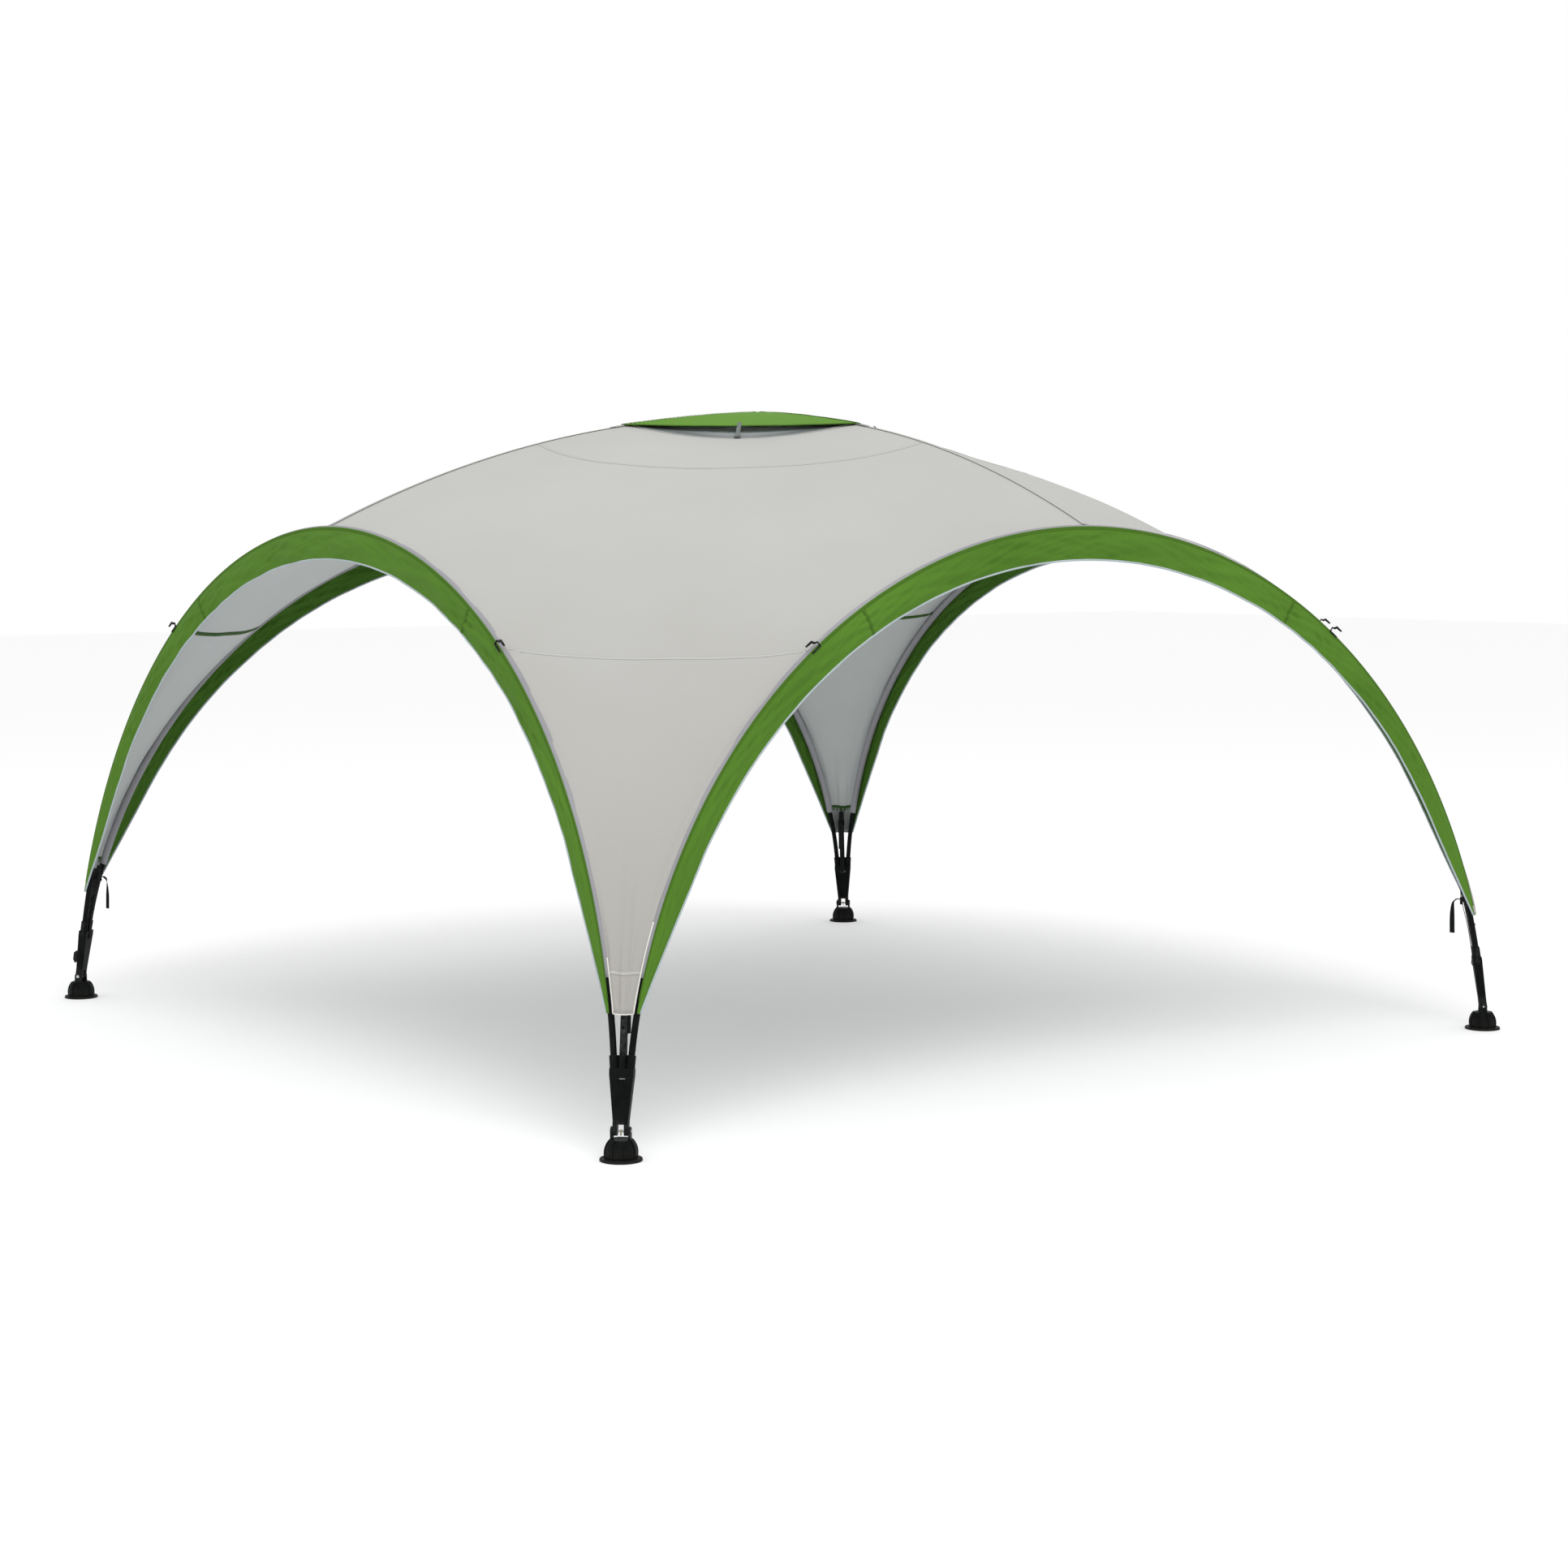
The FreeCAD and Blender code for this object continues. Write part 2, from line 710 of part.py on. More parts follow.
def oblong(centre, along, across, up, sizes):
    """Block from its centre, three directions and three sizes."""
    half = [size / 2.0 for size in sizes]
    start = centre - up * half[2]
    signs = [(1, 1), (-1, 1), (-1, -1), (1, -1), (1, 1)]
    ring = [start + along * (a * half[0]) + across * (b * half[1]) for a, b in signs]
    return Part.Face(Part.makePolygon(ring)).extrude(up * sizes[2])


def vent_prop():
    """Folding strut that holds the cap's edge off the canopy."""
    across = vent_edge()[2]
    pivot = prop_pivot()
    reach = vent_cap_radius / 2.0 + prop_cap_outset
    tip = Vector(reach, reach, cap_corner_height + prop_above_cap)
    half = prop_width / 2.0
    run = (tip - pivot).normalize()
    eye = rod(pivot - across * half, pivot + across * half, prop_eye_radius)
    side = run.cross(across).normalize()
    length = (tip - pivot).Length
    middle = pivot + run * (length / 2.0)
    strut = oblong(middle, run, across, side, (length, prop_width, prop_thickness))
    bore = rod(pivot - across * prop_width, pivot + across * prop_width,
               prop_pin_radius + pin_running_clearance)
    return joined([eye, strut]).cut(bore)


def prop_clip():
    """Two ears and a pin on the canopy's edge, for the prop to fold on."""
    seat, away, across, up = vent_edge()
    pivot = prop_pivot()
    inner = prop_width / 2.0 + ear_clearance
    outer = inner + clip_ear
    base_centre = seat + away * prop_inset + up * (clip_base / 2.0 + 0.3)
    pieces = [oblong(base_centre, away, across, up,
                     (3.0 * prop_eye_radius, 2.0 * outer, clip_base))]
    for side in (1, -1):
        near = pivot + across * (side * inner)
        far = pivot + across * (side * outer)
        pieces.append(rod(near, far, prop_eye_radius))
        ear_low = (near + far) * 0.5 - up * (prop_eye_radius / 2.0 + clip_base / 2.0)
        pieces.append(oblong(ear_low, away, across, up,
                             (2.0 * prop_eye_radius, clip_ear, prop_eye_radius + clip_base)))
    pieces.append(rod(pivot - across * inner, pivot + across * inner, prop_pin_radius))
    return joined(pieces)


def corner_tab():
    """Webbing tab from under a corner of the cap out on to the ridge."""
    under_cap = cap_corner_height - vent_cap_thickness - vent_strap_thickness - vent_strap_gap
    start = Vector(vent_cap_radius - vent_strap_lap, 0, under_cap)
    end = ridge_point(vent_cap_radius + vent_strap_reach, ridge_radius + 1.0)
    across = Vector(0, vent_strap_width / 2.0, 0)
    face = Part.Face(Part.makePolygon([start - across, end - across, end + across,
                                       start + across, start - across]))
    return face.extrude(Vector(0, 0, vent_strap_thickness))


# corner webbing, drawn in the diagonal plane of the corner frame

def ribbon(path, width, thickness):
    """Flat webbing along (out, height) points, with rounded turns."""
    pieces = []
    for first, last in zip(path[:-1], path[1:]):
        start = Vector(first[0], -width / 2.0, first[1])
        end = Vector(last[0], -width / 2.0, last[1])
        side = (end - start).cross(Vector(0, 1, 0)).normalize() * (thickness / 2.0)
        face = Part.Face(Part.makePolygon([start - side, end - side, end + side,
                                           start + side, start - side]))
        pieces.append(face.extrude(Vector(0, width, 0)))
    for turn in path[1:-1]:
        pieces.append(rod(Vector(turn[0], -width / 2.0, turn[1]),
                          Vector(turn[0], width / 2.0, turn[1]), thickness / 2.0))
    return joined(pieces)


def leg_axis_x(height):
    return leg_axis.x / leg_axis.z * (height - pin_height)


def beside_strut(height, gap):
    """Place inward of the strut's surface, at a height."""
    return strut_point(height).x - bore_radius - gap


buckle_x = beside_strut(buckle_height + buckle_length / 2.0, buckle_depth / 2.0 + strap_clearance)


def corner_strap():
    """Webbing from the leg's slot up to the buckle and down again as a hanging tail."""
    start = (leg_axis_x(strap_slot_height) - leg_top_depth / 2.0 - strap_clearance - 1.0,
             strap_slot_height)
    brow = (beside_strut(socket_mouth_height, fitting_wall + 2.5), socket_mouth_height + 6.0)
    behind = buckle_x + buckle_depth / 2.0 + 1.8
    over = (2.0 * buckle_x - behind, buckle_height + buckle_bar / 2.0 + 3.0)
    path = [(start[0] + leg_top_depth / 2.0, strap_slot_height), start, brow,
            (behind, buckle_height - buckle_length / 2.0 - 4.0), (behind, over[1]), over,
            (over[0] - 9.0, over[1] + 1.0), (over[0] - 18.0, over[1] - 5.0),
            (over[0] - 23.0, over[1] - 18.0),
            (over[0] - 24.0, over[1] - 18.0 - (strap_tail_length - 26.0))]
    return ribbon(path, webbing_width, webbing_thickness)


def anchor_strap():
    """Short webbing from the buckle's upper bar to the top of the strut."""
    path = [(buckle_x - 1.0, buckle_height + buckle_length / 2.0 + 1.2),
            (beside_strut(strut_top_height, strap_clearance), strut_top_height)]
    return ribbon(path, webbing_width, webbing_thickness)


def buckle():
    """Two-bar webbing buckle."""
    low = buckle_height - buckle_length / 2.0
    frame = Part.makeBox(buckle_depth, buckle_width, buckle_length,
                         Vector(buckle_x - buckle_depth / 2.0, -buckle_width / 2.0, low))
    window = webbing_width + 1.6
    gap = (buckle_length - 3.0 * buckle_bar) / 2.0
    cuts = []
    for step in range(2):
        base = low + buckle_bar + step * (gap + buckle_bar)
        cuts.append(Part.makeBox(3 * buckle_depth, window, gap,
                                 Vector(buckle_x - 1.5 * buckle_depth, -window / 2.0, base)))
    return frame.cut(cuts)


def guy_hook():
    """Open hook for a guy line, outside the band on the right arch, +Y half."""
    angle = arch_angle(arch_height - hook_drop, seam_rise_height)
    seat = arch_point(angle, seam_half_span, seam_rise_height, band_offset + band_thickness + 0.4)
    along = arch_tangent(angle)
    normal = arch_plane_normal()
    up = along.cross(normal).normalize()
    if up.dot(Vector(0, 1, 0)) < 0:
        up = up * -1.0
    half = hook_length / 2.0
    outline = [(-half, -10.0), (half, -10.0), (half, 3.0), (4.0, 6.0), (-2.0, hook_reach - 6.0),
               (-half - 8.0, hook_reach - 4.0), (-half - 8.0, hook_reach),
               (2.0, hook_reach), (9.0, 10.0), (half + 1.0, 6.0), (half + 3.0, -10.0),
               (half + 3.0, -13.0), (-half, -13.0), (-half, -10.0)]
    points = [seat + along * a + up * b for a, b in outline]
    return Part.Face(Part.makePolygon(points)).extrude(normal * hook_thickness)


os.makedirs("parts", exist_ok=True)

bracket = to_corner(leg_bracket())
base = to_corner(foot_base())
pin = to_corner(foot_pin())
ring = to_corner(pin_ring())
strap = to_corner(group([corner_strap(), anchor_strap()]))
strap_buckle = to_corner(buckle())
leg_pole = arch_leg_pole()
crown_pole = arch_crown_pole()
roof_pole = ridge_pole()
tee = arch_tee()
band = arch_band()
panel = roof_panel()
prop = vent_prop()
strut = to_corner(corner_strut())
button = to_corner(pole_button())
pole_joint = arch_insert(joint_angle)
button_stub = to_corner(stub())
hook = guy_hook()

for quarter, corner in enumerate(corners):
    export(turned(base, quarter), "foot_base_" + corner)
    export(turned(bracket, quarter), "leg_bracket_" + corner)
    export(turned(strap, quarter), "corner_strap_" + corner)
    export(turned(panel, quarter), "roof_panel_" + corner)
    export(turned(prop, quarter), "vent_prop_" + corner)
    export(turned(strut, quarter), "corner_strut_" + corner)
    export(turned(button, quarter), "pole_button_" + corner)

for quarter, side in enumerate(sides):
    before = corners[(quarter - 1) % 4]
    after = corners[quarter]
    other_leg = turned(mirrored(leg_pole), quarter - 1)
    export(turned(leg_pole, quarter), "arch_leg_pole_" + side + "_at_" + after)
    export(other_leg, "arch_leg_pole_" + side + "_at_" + before)
    export(turned(crown_pole, quarter), "arch_crown_pole_" + side)
    export(turned(roof_pole, quarter), "roof_pole_" + side)
    export(turned(band, quarter), "arch_band_" + side)


def all_round(shape):
    return [turned(shape, quarter) for quarter in range(4)]


def all_eight(shape):
    return all_round(shape) + all_round(mirrored(shape))


inserts = all_eight(pole_joint) + all_round(button_stub)
export(group(all_round(pin)), "foot_pins")
export(group(all_round(ring)), "pin_rings")
export(group(inserts), "pole_inserts")
export(group(all_round(strap_buckle)), "strap_buckles")
export(group(all_eight(hook)), "guy_hooks")
export(group(all_round(tee)), "arch_tees")
export(group(all_round(corner_tab())), "vent_straps")
export(group(all_round(prop_clip())), "vent_prop_clips")
export(hub(), "hub")
export(vent_mesh(), "vent_mesh")
export(vent_cap(), "vent_cap")
export(turned(to_corner(cleat()), 1), "leg_cleat_back_left")
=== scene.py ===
import math

import bmesh
import bpy
from mathutils import Matrix, Vector, noise


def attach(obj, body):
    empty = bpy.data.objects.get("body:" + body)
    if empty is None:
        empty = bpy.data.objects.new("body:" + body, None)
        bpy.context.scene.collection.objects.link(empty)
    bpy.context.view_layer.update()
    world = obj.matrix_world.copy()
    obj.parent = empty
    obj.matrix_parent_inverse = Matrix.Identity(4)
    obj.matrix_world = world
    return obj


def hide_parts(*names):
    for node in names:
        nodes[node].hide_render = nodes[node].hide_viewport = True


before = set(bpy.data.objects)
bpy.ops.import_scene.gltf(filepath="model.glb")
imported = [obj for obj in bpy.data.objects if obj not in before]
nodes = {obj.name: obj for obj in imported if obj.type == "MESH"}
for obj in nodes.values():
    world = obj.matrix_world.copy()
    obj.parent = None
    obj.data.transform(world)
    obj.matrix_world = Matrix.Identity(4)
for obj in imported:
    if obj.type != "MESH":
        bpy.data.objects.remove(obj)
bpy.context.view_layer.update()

corners = ["back_right", "back_left", "front_left", "front_right"]
sides = ["right", "back", "left", "front"]
shelter = "shelter"

# shapes shared with the CAD part

shape = {
    "halfSpacing": 1.825, "archHeight": 1.768, "roofHeight": 2.153,
    "archLean": math.radians(3.8), "archFootOffset": 0.016, "archInset": 0.0146,
    "seamRise": 0.0154, "hemHeight": 0.405,
    "ventRadius": 0.547, "ventMid": 0.465, "midRise": 0.975, "midReach": 1.008,
}

archFootX = shape["halfSpacing"] + shape["archFootOffset"]
poleHalfSpan = shape["halfSpacing"] - shape["archInset"]
poleRise = (shape["archHeight"] - shape["seamRise"]) / math.cos(shape["archLean"])
archTopX = archFootX - shape["archHeight"] * math.tan(shape["archLean"])
ridgeDrop = shape["roofHeight"] - shape["archHeight"]
ridgeRadius = (archTopX ** 2 + ridgeDrop ** 2) / (2 * ridgeDrop)
cornerReach = shape["halfSpacing"] * math.sqrt(2)
midReach = cornerReach * shape["midReach"]
midRise = shape["roofHeight"] * shape["midRise"]
midStart = math.asin(shape["ventMid"] / midReach)
midEnd = math.acos(shape["hemHeight"] / midRise)


archNormal = Vector((math.cos(shape["archLean"]), 0, math.sin(shape["archLean"])))
straightUp = Vector((0, 0, 1))


def archPoint(angle, rise=0.0, offset=0.0, sideRise=None):
    # a place near the pole of the right-hand arch; angle runs from its top towards +Y
    along = (poleRise + rise) * math.cos(angle)
    lean = shape["archLean"]
    x = archFootX - along * math.sin(lean) + offset * math.cos(lean)
    z = along * math.cos(lean) + offset * math.sin(lean)
    reach = poleHalfSpan + (rise if sideRise is None else sideRise)
    return Vector((x, reach * math.sin(angle), z))


def archAngle(height, rise=0.0):
    return math.acos(height / ((poleRise + rise) * math.cos(shape["archLean"])))


def ridgePoint(reach, drop=0.0):
    centre = shape["roofHeight"] - ridgeRadius
    return Vector((reach, 0.0, centre + math.sqrt((ridgeRadius - drop) ** 2 - reach ** 2)))


def turned(point, quarter):
    return Matrix.Rotation(math.pi / 2 * quarter, 3, "Z") @ point


def swapped(point):
    return Vector((point.y, point.x, point.z))


def toCorner(x, y, z):
    # from the leg's own frame, x out along the diagonal, to the back right corner
    s = math.sqrt(0.5)
    h = shape["halfSpacing"]
    return Vector((h + (x - y) * s, h + (x + y) * s, z))


def sampled(pointAt, start, end, count):
    return [pointAt(start + (end - start) * step / (count - 1)) for step in range(count)]


def smooth(t):
    t = min(max(t, 0.0), 1.0)
    return t * t * (3 - 2 * t)


def bump(t, centre, width):
    return math.exp(-((t - centre) / width) ** 2)


# mesh helpers

def meshObject(name, verts, faces, uvs=None, materials=(), faceMaterial=None):
    mesh = bpy.data.meshes.new(name)
    mesh.from_pydata([tuple(v) for v in verts], [], faces)
    if uvs:
        layer = mesh.uv_layers.new(name="cloth")
        for loop in mesh.loops:
            layer.data[loop.index].uv = uvs[loop.vertex_index]
    for material in materials:
        mesh.materials.append(material)
    if faceMaterial:
        for index, polygon in enumerate(mesh.polygons):
            polygon.material_index = faceMaterial[index]
    for polygon in mesh.polygons:
        polygon.use_smooth = True
    mesh.update()
    obj = bpy.data.objects.new(name, mesh)
    bpy.context.scene.collection.objects.link(obj)
    return obj


def gridFaces(rows, columns, closed=False, flip=False):
    faces = []
    for r in range(rows - 1):
        for c in range(columns if closed else columns - 1):
            d = (c + 1) % columns
            quad = (r * columns + c, r * columns + d, (r + 1) * columns + d, (r + 1) * columns + c)
            faces.append(quad[::-1] if flip else quad)
    return faces


def clothGrid(name, rows, columns, pointAt, uvAt, materials, thickness, flip=False):
    # a sheet through pointAt(a, b), with a and b from 0 to 1, thickened away from its outer face
    verts, uvs = [], []
    for r in range(rows):
        for c in range(columns):
            a, b = r / (rows - 1), c / (columns - 1)
            verts.append(pointAt(a, b))
            uvs.append(uvAt(a, b))
    obj = meshObject(name, verts, gridFaces(rows, columns, flip=flip), uvs, materials)
    solid = obj.modifiers.new("thickness", "SOLIDIFY")
    solid.thickness = thickness
    solid.offset = -1
    solid.use_even_offset = False
    if len(materials) > 1:
        solid.material_offset = 1
    return obj


def frameAlong(points, index, side):
    before = points[max(index - 1, 0)]
    after = points[min(index + 1, len(points) - 1)]
    heading = (after - before).normalized()
    across = side - heading * side.dot(heading)
    across.normalize()
    return heading, across, heading.cross(across)


def ringsAlong(points, around, radiusAt, sideOf):
    # rings of places round a line, with their map along it and round it
    verts, uvs = [], []
    length = 0.0
    for index, point in enumerate(points):
        if index:
            length += (point - points[index - 1]).length
        heading, across, up = frameAlong(points, index, sideOf(index))
        for step in range(around):
            turn = 2 * math.pi * step / around
            radius = radiusAt(length, turn)
            verts.append(point + across * radius * math.cos(turn) + up * radius * math.sin(turn))
            uvs.append((length, radius * turn))
    return verts, uvs


def newLists():
    # places, faces, map and material marks of one mesh
    return [], [], [], []


def tubeAlong(lists, points, radius, around, sideOf, mark=0):
    # round cord with closed ends
    verts, faces, uvs, marks = lists
    start = len(verts)
    ringVerts, ringUvs = ringsAlong(points, around, lambda length, turn: radius, sideOf)
    verts.extend(ringVerts)
    uvs.extend(ringUvs)
    for face in gridFaces(len(points), around, closed=True):
        faces.append(tuple(start + v for v in face))
    for ring, order in ((0, 1), (len(points) - 1, -1)):
        loop = [start + ring * around + step for step in range(around)]
        faces.append(tuple(loop[::-order]))
    marks.extend([mark] * (len(faces) - len(marks)))


def ribbonAlong(lists, points, width, thickness, sideOf, mark=0, segments=4, crown=0.0):
    # flat strip along points; sideOf gives the direction across it, crown domes its outer face
    verts, faces, uvs, marks = lists
    start = len(verts)
    ring = 2 * (segments + 1)
    length = 0.0
    for index, point in enumerate(points):
        if index:
            length += (point - points[index - 1]).length
        heading, across, up = frameAlong(points, index, sideOf(index))
        up = across.cross(heading)
        for outer in (True, False):
            for step in range(segments + 1):
                share = step / segments if outer else 1 - step / segments
                rise = thickness / 2 if outer else -thickness / 2
                if outer:
                    rise += crown * (1 - (2 * share - 1) ** 2)
                verts.append(point + across * width * (share - 0.5) + up * rise)
                uvs.append((length, width * share))
    for r in range(len(points) - 1):
        for c in range(ring):
            d = (c + 1) % ring
            faces.append((start + r * ring + c, start + (r + 1) * ring + c,
                          start + (r + 1) * ring + d, start + r * ring + d))
    for row, order in ((0, 1), (len(points) - 1, -1)):
        loop = [start + row * ring + step for step in range(ring)]
        faces.append(tuple(loop[::order]))
    marks.extend([mark] * (len(faces) - len(marks)))


def meshFromLists(name, lists, materials):
    verts, faces, uvs, marks = lists
    obj = meshObject(name, verts, faces, uvs, materials, marks)
    tidy = bmesh.new()
    tidy.from_mesh(obj.data)
    bmesh.ops.recalc_face_normals(tidy, faces=tidy.faces)
    tidy.to_mesh(obj.data)
    tidy.free()
    return obj


# shader node groups

def newGroup(name, numbers, outputs):
    # a group that takes a vector and some numbers, and gives numbers back
    group = bpy.data.node_groups.new(name, "ShaderNodeTree")
    sockets = group.interface
    sockets.new_socket(name="Vector", in_out="INPUT", socket_type="NodeSocketVector")
    for label, value in numbers.items():
        socket = sockets.new_socket(name=label, in_out="INPUT", socket_type="NodeSocketFloat")
        socket.default_value = value
    for label in outputs:
        sockets.new_socket(name=label, in_out="OUTPUT", socket_type="NodeSocketFloat")
    enter = group.nodes.new("NodeGroupInput")
    leave = group.nodes.new("NodeGroupOutput")
    return group, enter.outputs, leave.inputs


def feed(tree, socket, value):
    # a fixed value, or the output of another node
    if isinstance(value, bpy.types.NodeSocket):
        tree.links.new(value, socket)
    else:
        socket.default_value = value


def addNode(tree, kind, settings=None, **values):
    node = tree.nodes.new(kind)
    for key, value in (settings or {}).items():
        setattr(node, key, value)
    for key, value in values.items():
        feed(tree, node.inputs[key], value)
    return node


def addNoise(tree, vector, scale, **values):
    node = addNode(tree, "ShaderNodeTexNoise", Vector=vector, Scale=scale, **values)
    return node.outputs["Fac"]


def splitVector(tree, vector):
    return addNode(tree, "ShaderNodeSeparateXYZ", Vector=vector).outputs


def mathNode(tree, operation, first, second=None, clamp=False):
    node = addNode(tree, "ShaderNodeMath", {"operation": operation, "use_clamp": clamp})
    feed(tree, node.inputs[0], first)
    if second is not None:
        feed(tree, node.inputs[1], second)
    return node.outputs[0]


def makeWeaveGroup():
    # plain weave from two crossed waves, on the cloth's own metre-scaled map
    group, enter, leave = newGroup("clothWeave", {"Threads": 900.0, "Slub": 0.35},
                                   ("Height", "Tone"))
    split = splitVector(group, enter["Vector"])
    waves = []
    for axis in (0, 1):
        scaled = mathNode(group, "MULTIPLY", split[axis], enter["Threads"])
        waves.append(mathNode(group, "ABSOLUTE", mathNode(group, "SINE", scaled)))
    over = mathNode(group, "MAXIMUM", waves[0], waves[1])
    stretch = addNode(group, "ShaderNodeMapping", Vector=enter["Vector"], Scale=(1.0, 14.0, 1.0))
    slub = addNoise(group, stretch.outputs["Vector"], 55.0, Detail=3.0, Roughness=0.6)
    uneven = mathNode(group, "MULTIPLY", slub, enter["Slub"])
    feed(group, leave["Height"], mathNode(group, "ADD", over, uneven))
    feed(group, leave["Tone"], slub)
    return group


def makeCrumpleGroup():
    # soft creases and cloudy colour from being folded away
    group, enter, leave = newGroup("clothCrumple", {"Creases": 7.0, "Clouds": 1.6},
                                   ("Height", "Mottle"))
    warp = addNode(group, "ShaderNodeTexNoise", Vector=enter["Vector"], Scale=2.3, Detail=2.0)
    push = addNode(group, "ShaderNodeVectorMath", {"operation": "MULTIPLY_ADD"})
    for socket, value in zip(push.inputs, (warp.outputs["Color"], (0.35, 0.35, 0.35),
                                           enter["Vector"])):
        feed(group, socket, value)
    ridge = addNode(group, "ShaderNodeTexNoise", {"noise_type": "RIDGED_MULTIFRACTAL"},
                    Vector=push.outputs[0], Scale=enter["Creases"], Detail=3.0, Roughness=0.45)
    feed(group, leave["Height"], ridge.outputs["Fac"])
    feed(group, leave["Mottle"], addNoise(group, enter["Vector"], enter["Clouds"], Detail=4.0,
                                          Roughness=0.55))
    return group


def makeStitchGroup():
    # running stitch near both edges of a seam strip; x runs along it and y across it
    group, enter, leave = newGroup("seamStitch", {"Width": 0.012, "Pitch": 0.0035}, ("Mask",))
    dashShare, edgePlace, lineWidth = 0.68, 0.33, 0.055
    split = splitVector(group, enter["Vector"])
    along = mathNode(group, "DIVIDE", split[0], enter["Pitch"])
    dash = mathNode(group, "LESS_THAN", mathNode(group, "FRACT", along), dashShare)
    across = mathNode(group, "DIVIDE", split[1], enter["Width"])
    centred = mathNode(group, "ABSOLUTE", mathNode(group, "SUBTRACT", across, 0.5))
    near = mathNode(group, "ABSOLUTE", mathNode(group, "SUBTRACT", centred, edgePlace))
    line = mathNode(group, "LESS_THAN", near, lineWidth)
    feed(group, leave["Mask"], mathNode(group, "MULTIPLY", dash, line))
    return group


def makeGrainGroup():
    # fine moulded or powder coated texture with a slow change of tone
    group, enter, leave = newGroup("fineGrain", {"Scale": 900.0}, ("Height", "Tone"))
    feed(group, leave["Height"], addNoise(group, enter["Vector"], enter["Scale"], Detail=4.0,
                                          Roughness=0.7))
    feed(group, leave["Tone"], addNoise(group, enter["Vector"], 22.0, Detail=3.0))
    return group


def makeWearGroup():
    # rubbed edges, broken up by noise
    group, enter, leave = newGroup("edgeWear", {"Reach": 0.53, "Breakup": 60.0}, ("Mask",))
    edgeGain, patchStart, patchGain = 16.0, 0.35, 2.6
    geometry = addNode(group, "ShaderNodeNewGeometry")
    patch = addNoise(group, enter["Vector"], enter["Breakup"], Detail=4.0, Roughness=0.65)
    edge = mathNode(group, "SUBTRACT", geometry.outputs["Pointiness"], enter["Reach"])
    sharp = mathNode(group, "MULTIPLY", edge, edgeGain, clamp=True)
    patchy = mathNode(group, "MULTIPLY", mathNode(group, "SUBTRACT", patch, patchStart),
                      patchGain, clamp=True)
    feed(group, leave["Mask"], mathNode(group, "MULTIPLY", sharp, patchy, clamp=True))
    return group


def makeDustGroup():
    # pale dust that gathers low down
    group, enter, leave = newGroup("groundDust", {"Height": 0.06}, ("Mask",))
    split = splitVector(group, enter["Vector"])
    share = mathNode(group, "DIVIDE", split[2], enter["Height"])
    low = mathNode(group, "SUBTRACT", 1.0, share, clamp=True)
    speck = addNoise(group, enter["Vector"], 90.0, Detail=5.0, Roughness=0.7)
    feed(group, leave["Mask"], mathNode(group, "MULTIPLY", low, speck))
    return group


groups = {
    "weave": makeWeaveGroup(), "crumple": makeCrumpleGroup(), "stitch": makeStitchGroup(),
    "grain": makeGrainGroup(), "wear": makeWearGroup(), "dust": makeDustGroup(),
}


# materials

def startMaterial(name):
    material = bpy.data.materials.new(name)
    material.use_nodes = True
    tree = material.node_tree
    return material, tree, tree.nodes["Principled BSDF"]


def finishShader(tree, shader, inputs):
    for label, value in inputs.items():
        feed(tree, shader.inputs[label], value)


def placeGroup(tree, key, vector, **values):
    node = tree.nodes.new("ShaderNodeGroup")
    node.node_tree = groups[key]
    feed(tree, node.inputs["Vector"], vector)
    for label, value in values.items():
        feed(tree, node.inputs[label], value)
    return node.outputs


def mixColour(tree, factor, first, second):
    node = addNode(tree, "ShaderNodeMix", {"data_type": "RGBA"})
    colours = [(*value, 1.0) if isinstance(value, tuple) else value for value in (first, second)]
    for index, value in zip((0, 6, 7), (factor, *colours)):
        feed(tree, node.inputs[index], value)
    return node.outputs[2]


def spread(tree, value, low, high, toLow=0.0, toHigh=1.0):
    node = addNode(tree, "ShaderNodeMapRange", Value=value)
    for label, number in (("From Min", low), ("From Max", high), ("To Min", toLow),
                          ("To Max", toHigh)):
        node.inputs[label].default_value = number
    return node.outputs["Result"]


def bumpChain(tree, shader, layers):
    previous = None
    for height, strength, distance in layers:
        node = addNode(tree, "ShaderNodeBump", Height=height, Strength=strength,
                       Distance=distance)
        if previous:
            feed(tree, node.inputs["Normal"], previous)
        previous = node.outputs["Normal"]
    feed(tree, shader.inputs["Normal"], previous)


def clothMaterial(name, look):
    material, tree, shader = startMaterial(name)
    coords = tree.nodes.new("ShaderNodeTexCoord").outputs
    weave = placeGroup(tree, "weave", coords["UV"], Threads=look["threads"])
    crumple = placeGroup(tree, "crumple", coords["Object"], Creases=look["creases"],
                         Clouds=look["clouds"])
    base = mixColour(tree, spread(tree, crumple["Mottle"], 0.3, 0.7), look["dark"],
                     look["light"])
    thread = spread(tree, weave["Tone"], 0.35, 0.65, 0.0, look["threadTone"])
    colour = mixColour(tree, thread, base, look["thread"])
    if "low" in look:
        # painted shade: a little darker and greyer towards the feet
        height = splitVector(tree, coords["Object"])[2]
        colour = mixColour(tree, spread(tree, height, 0.4, 1.9), look["low"], colour)
    rough = spread(tree, crumple["Mottle"], 0.3, 0.7, look["rough"] - 0.05, look["rough"] + 0.05)
    finishShader(tree, shader, {
        "Base Color": colour, "Roughness": rough, "Sheen Weight": look["sheen"],
        "Sheen Roughness": 0.4, "Specular IOR Level": look["gloss"]})
    bumpChain(tree, shader, [(crumple["Height"], look["creaseDepth"], 0.004),
                             (weave["Height"], look["weaveDepth"], 0.0002)])
    return material


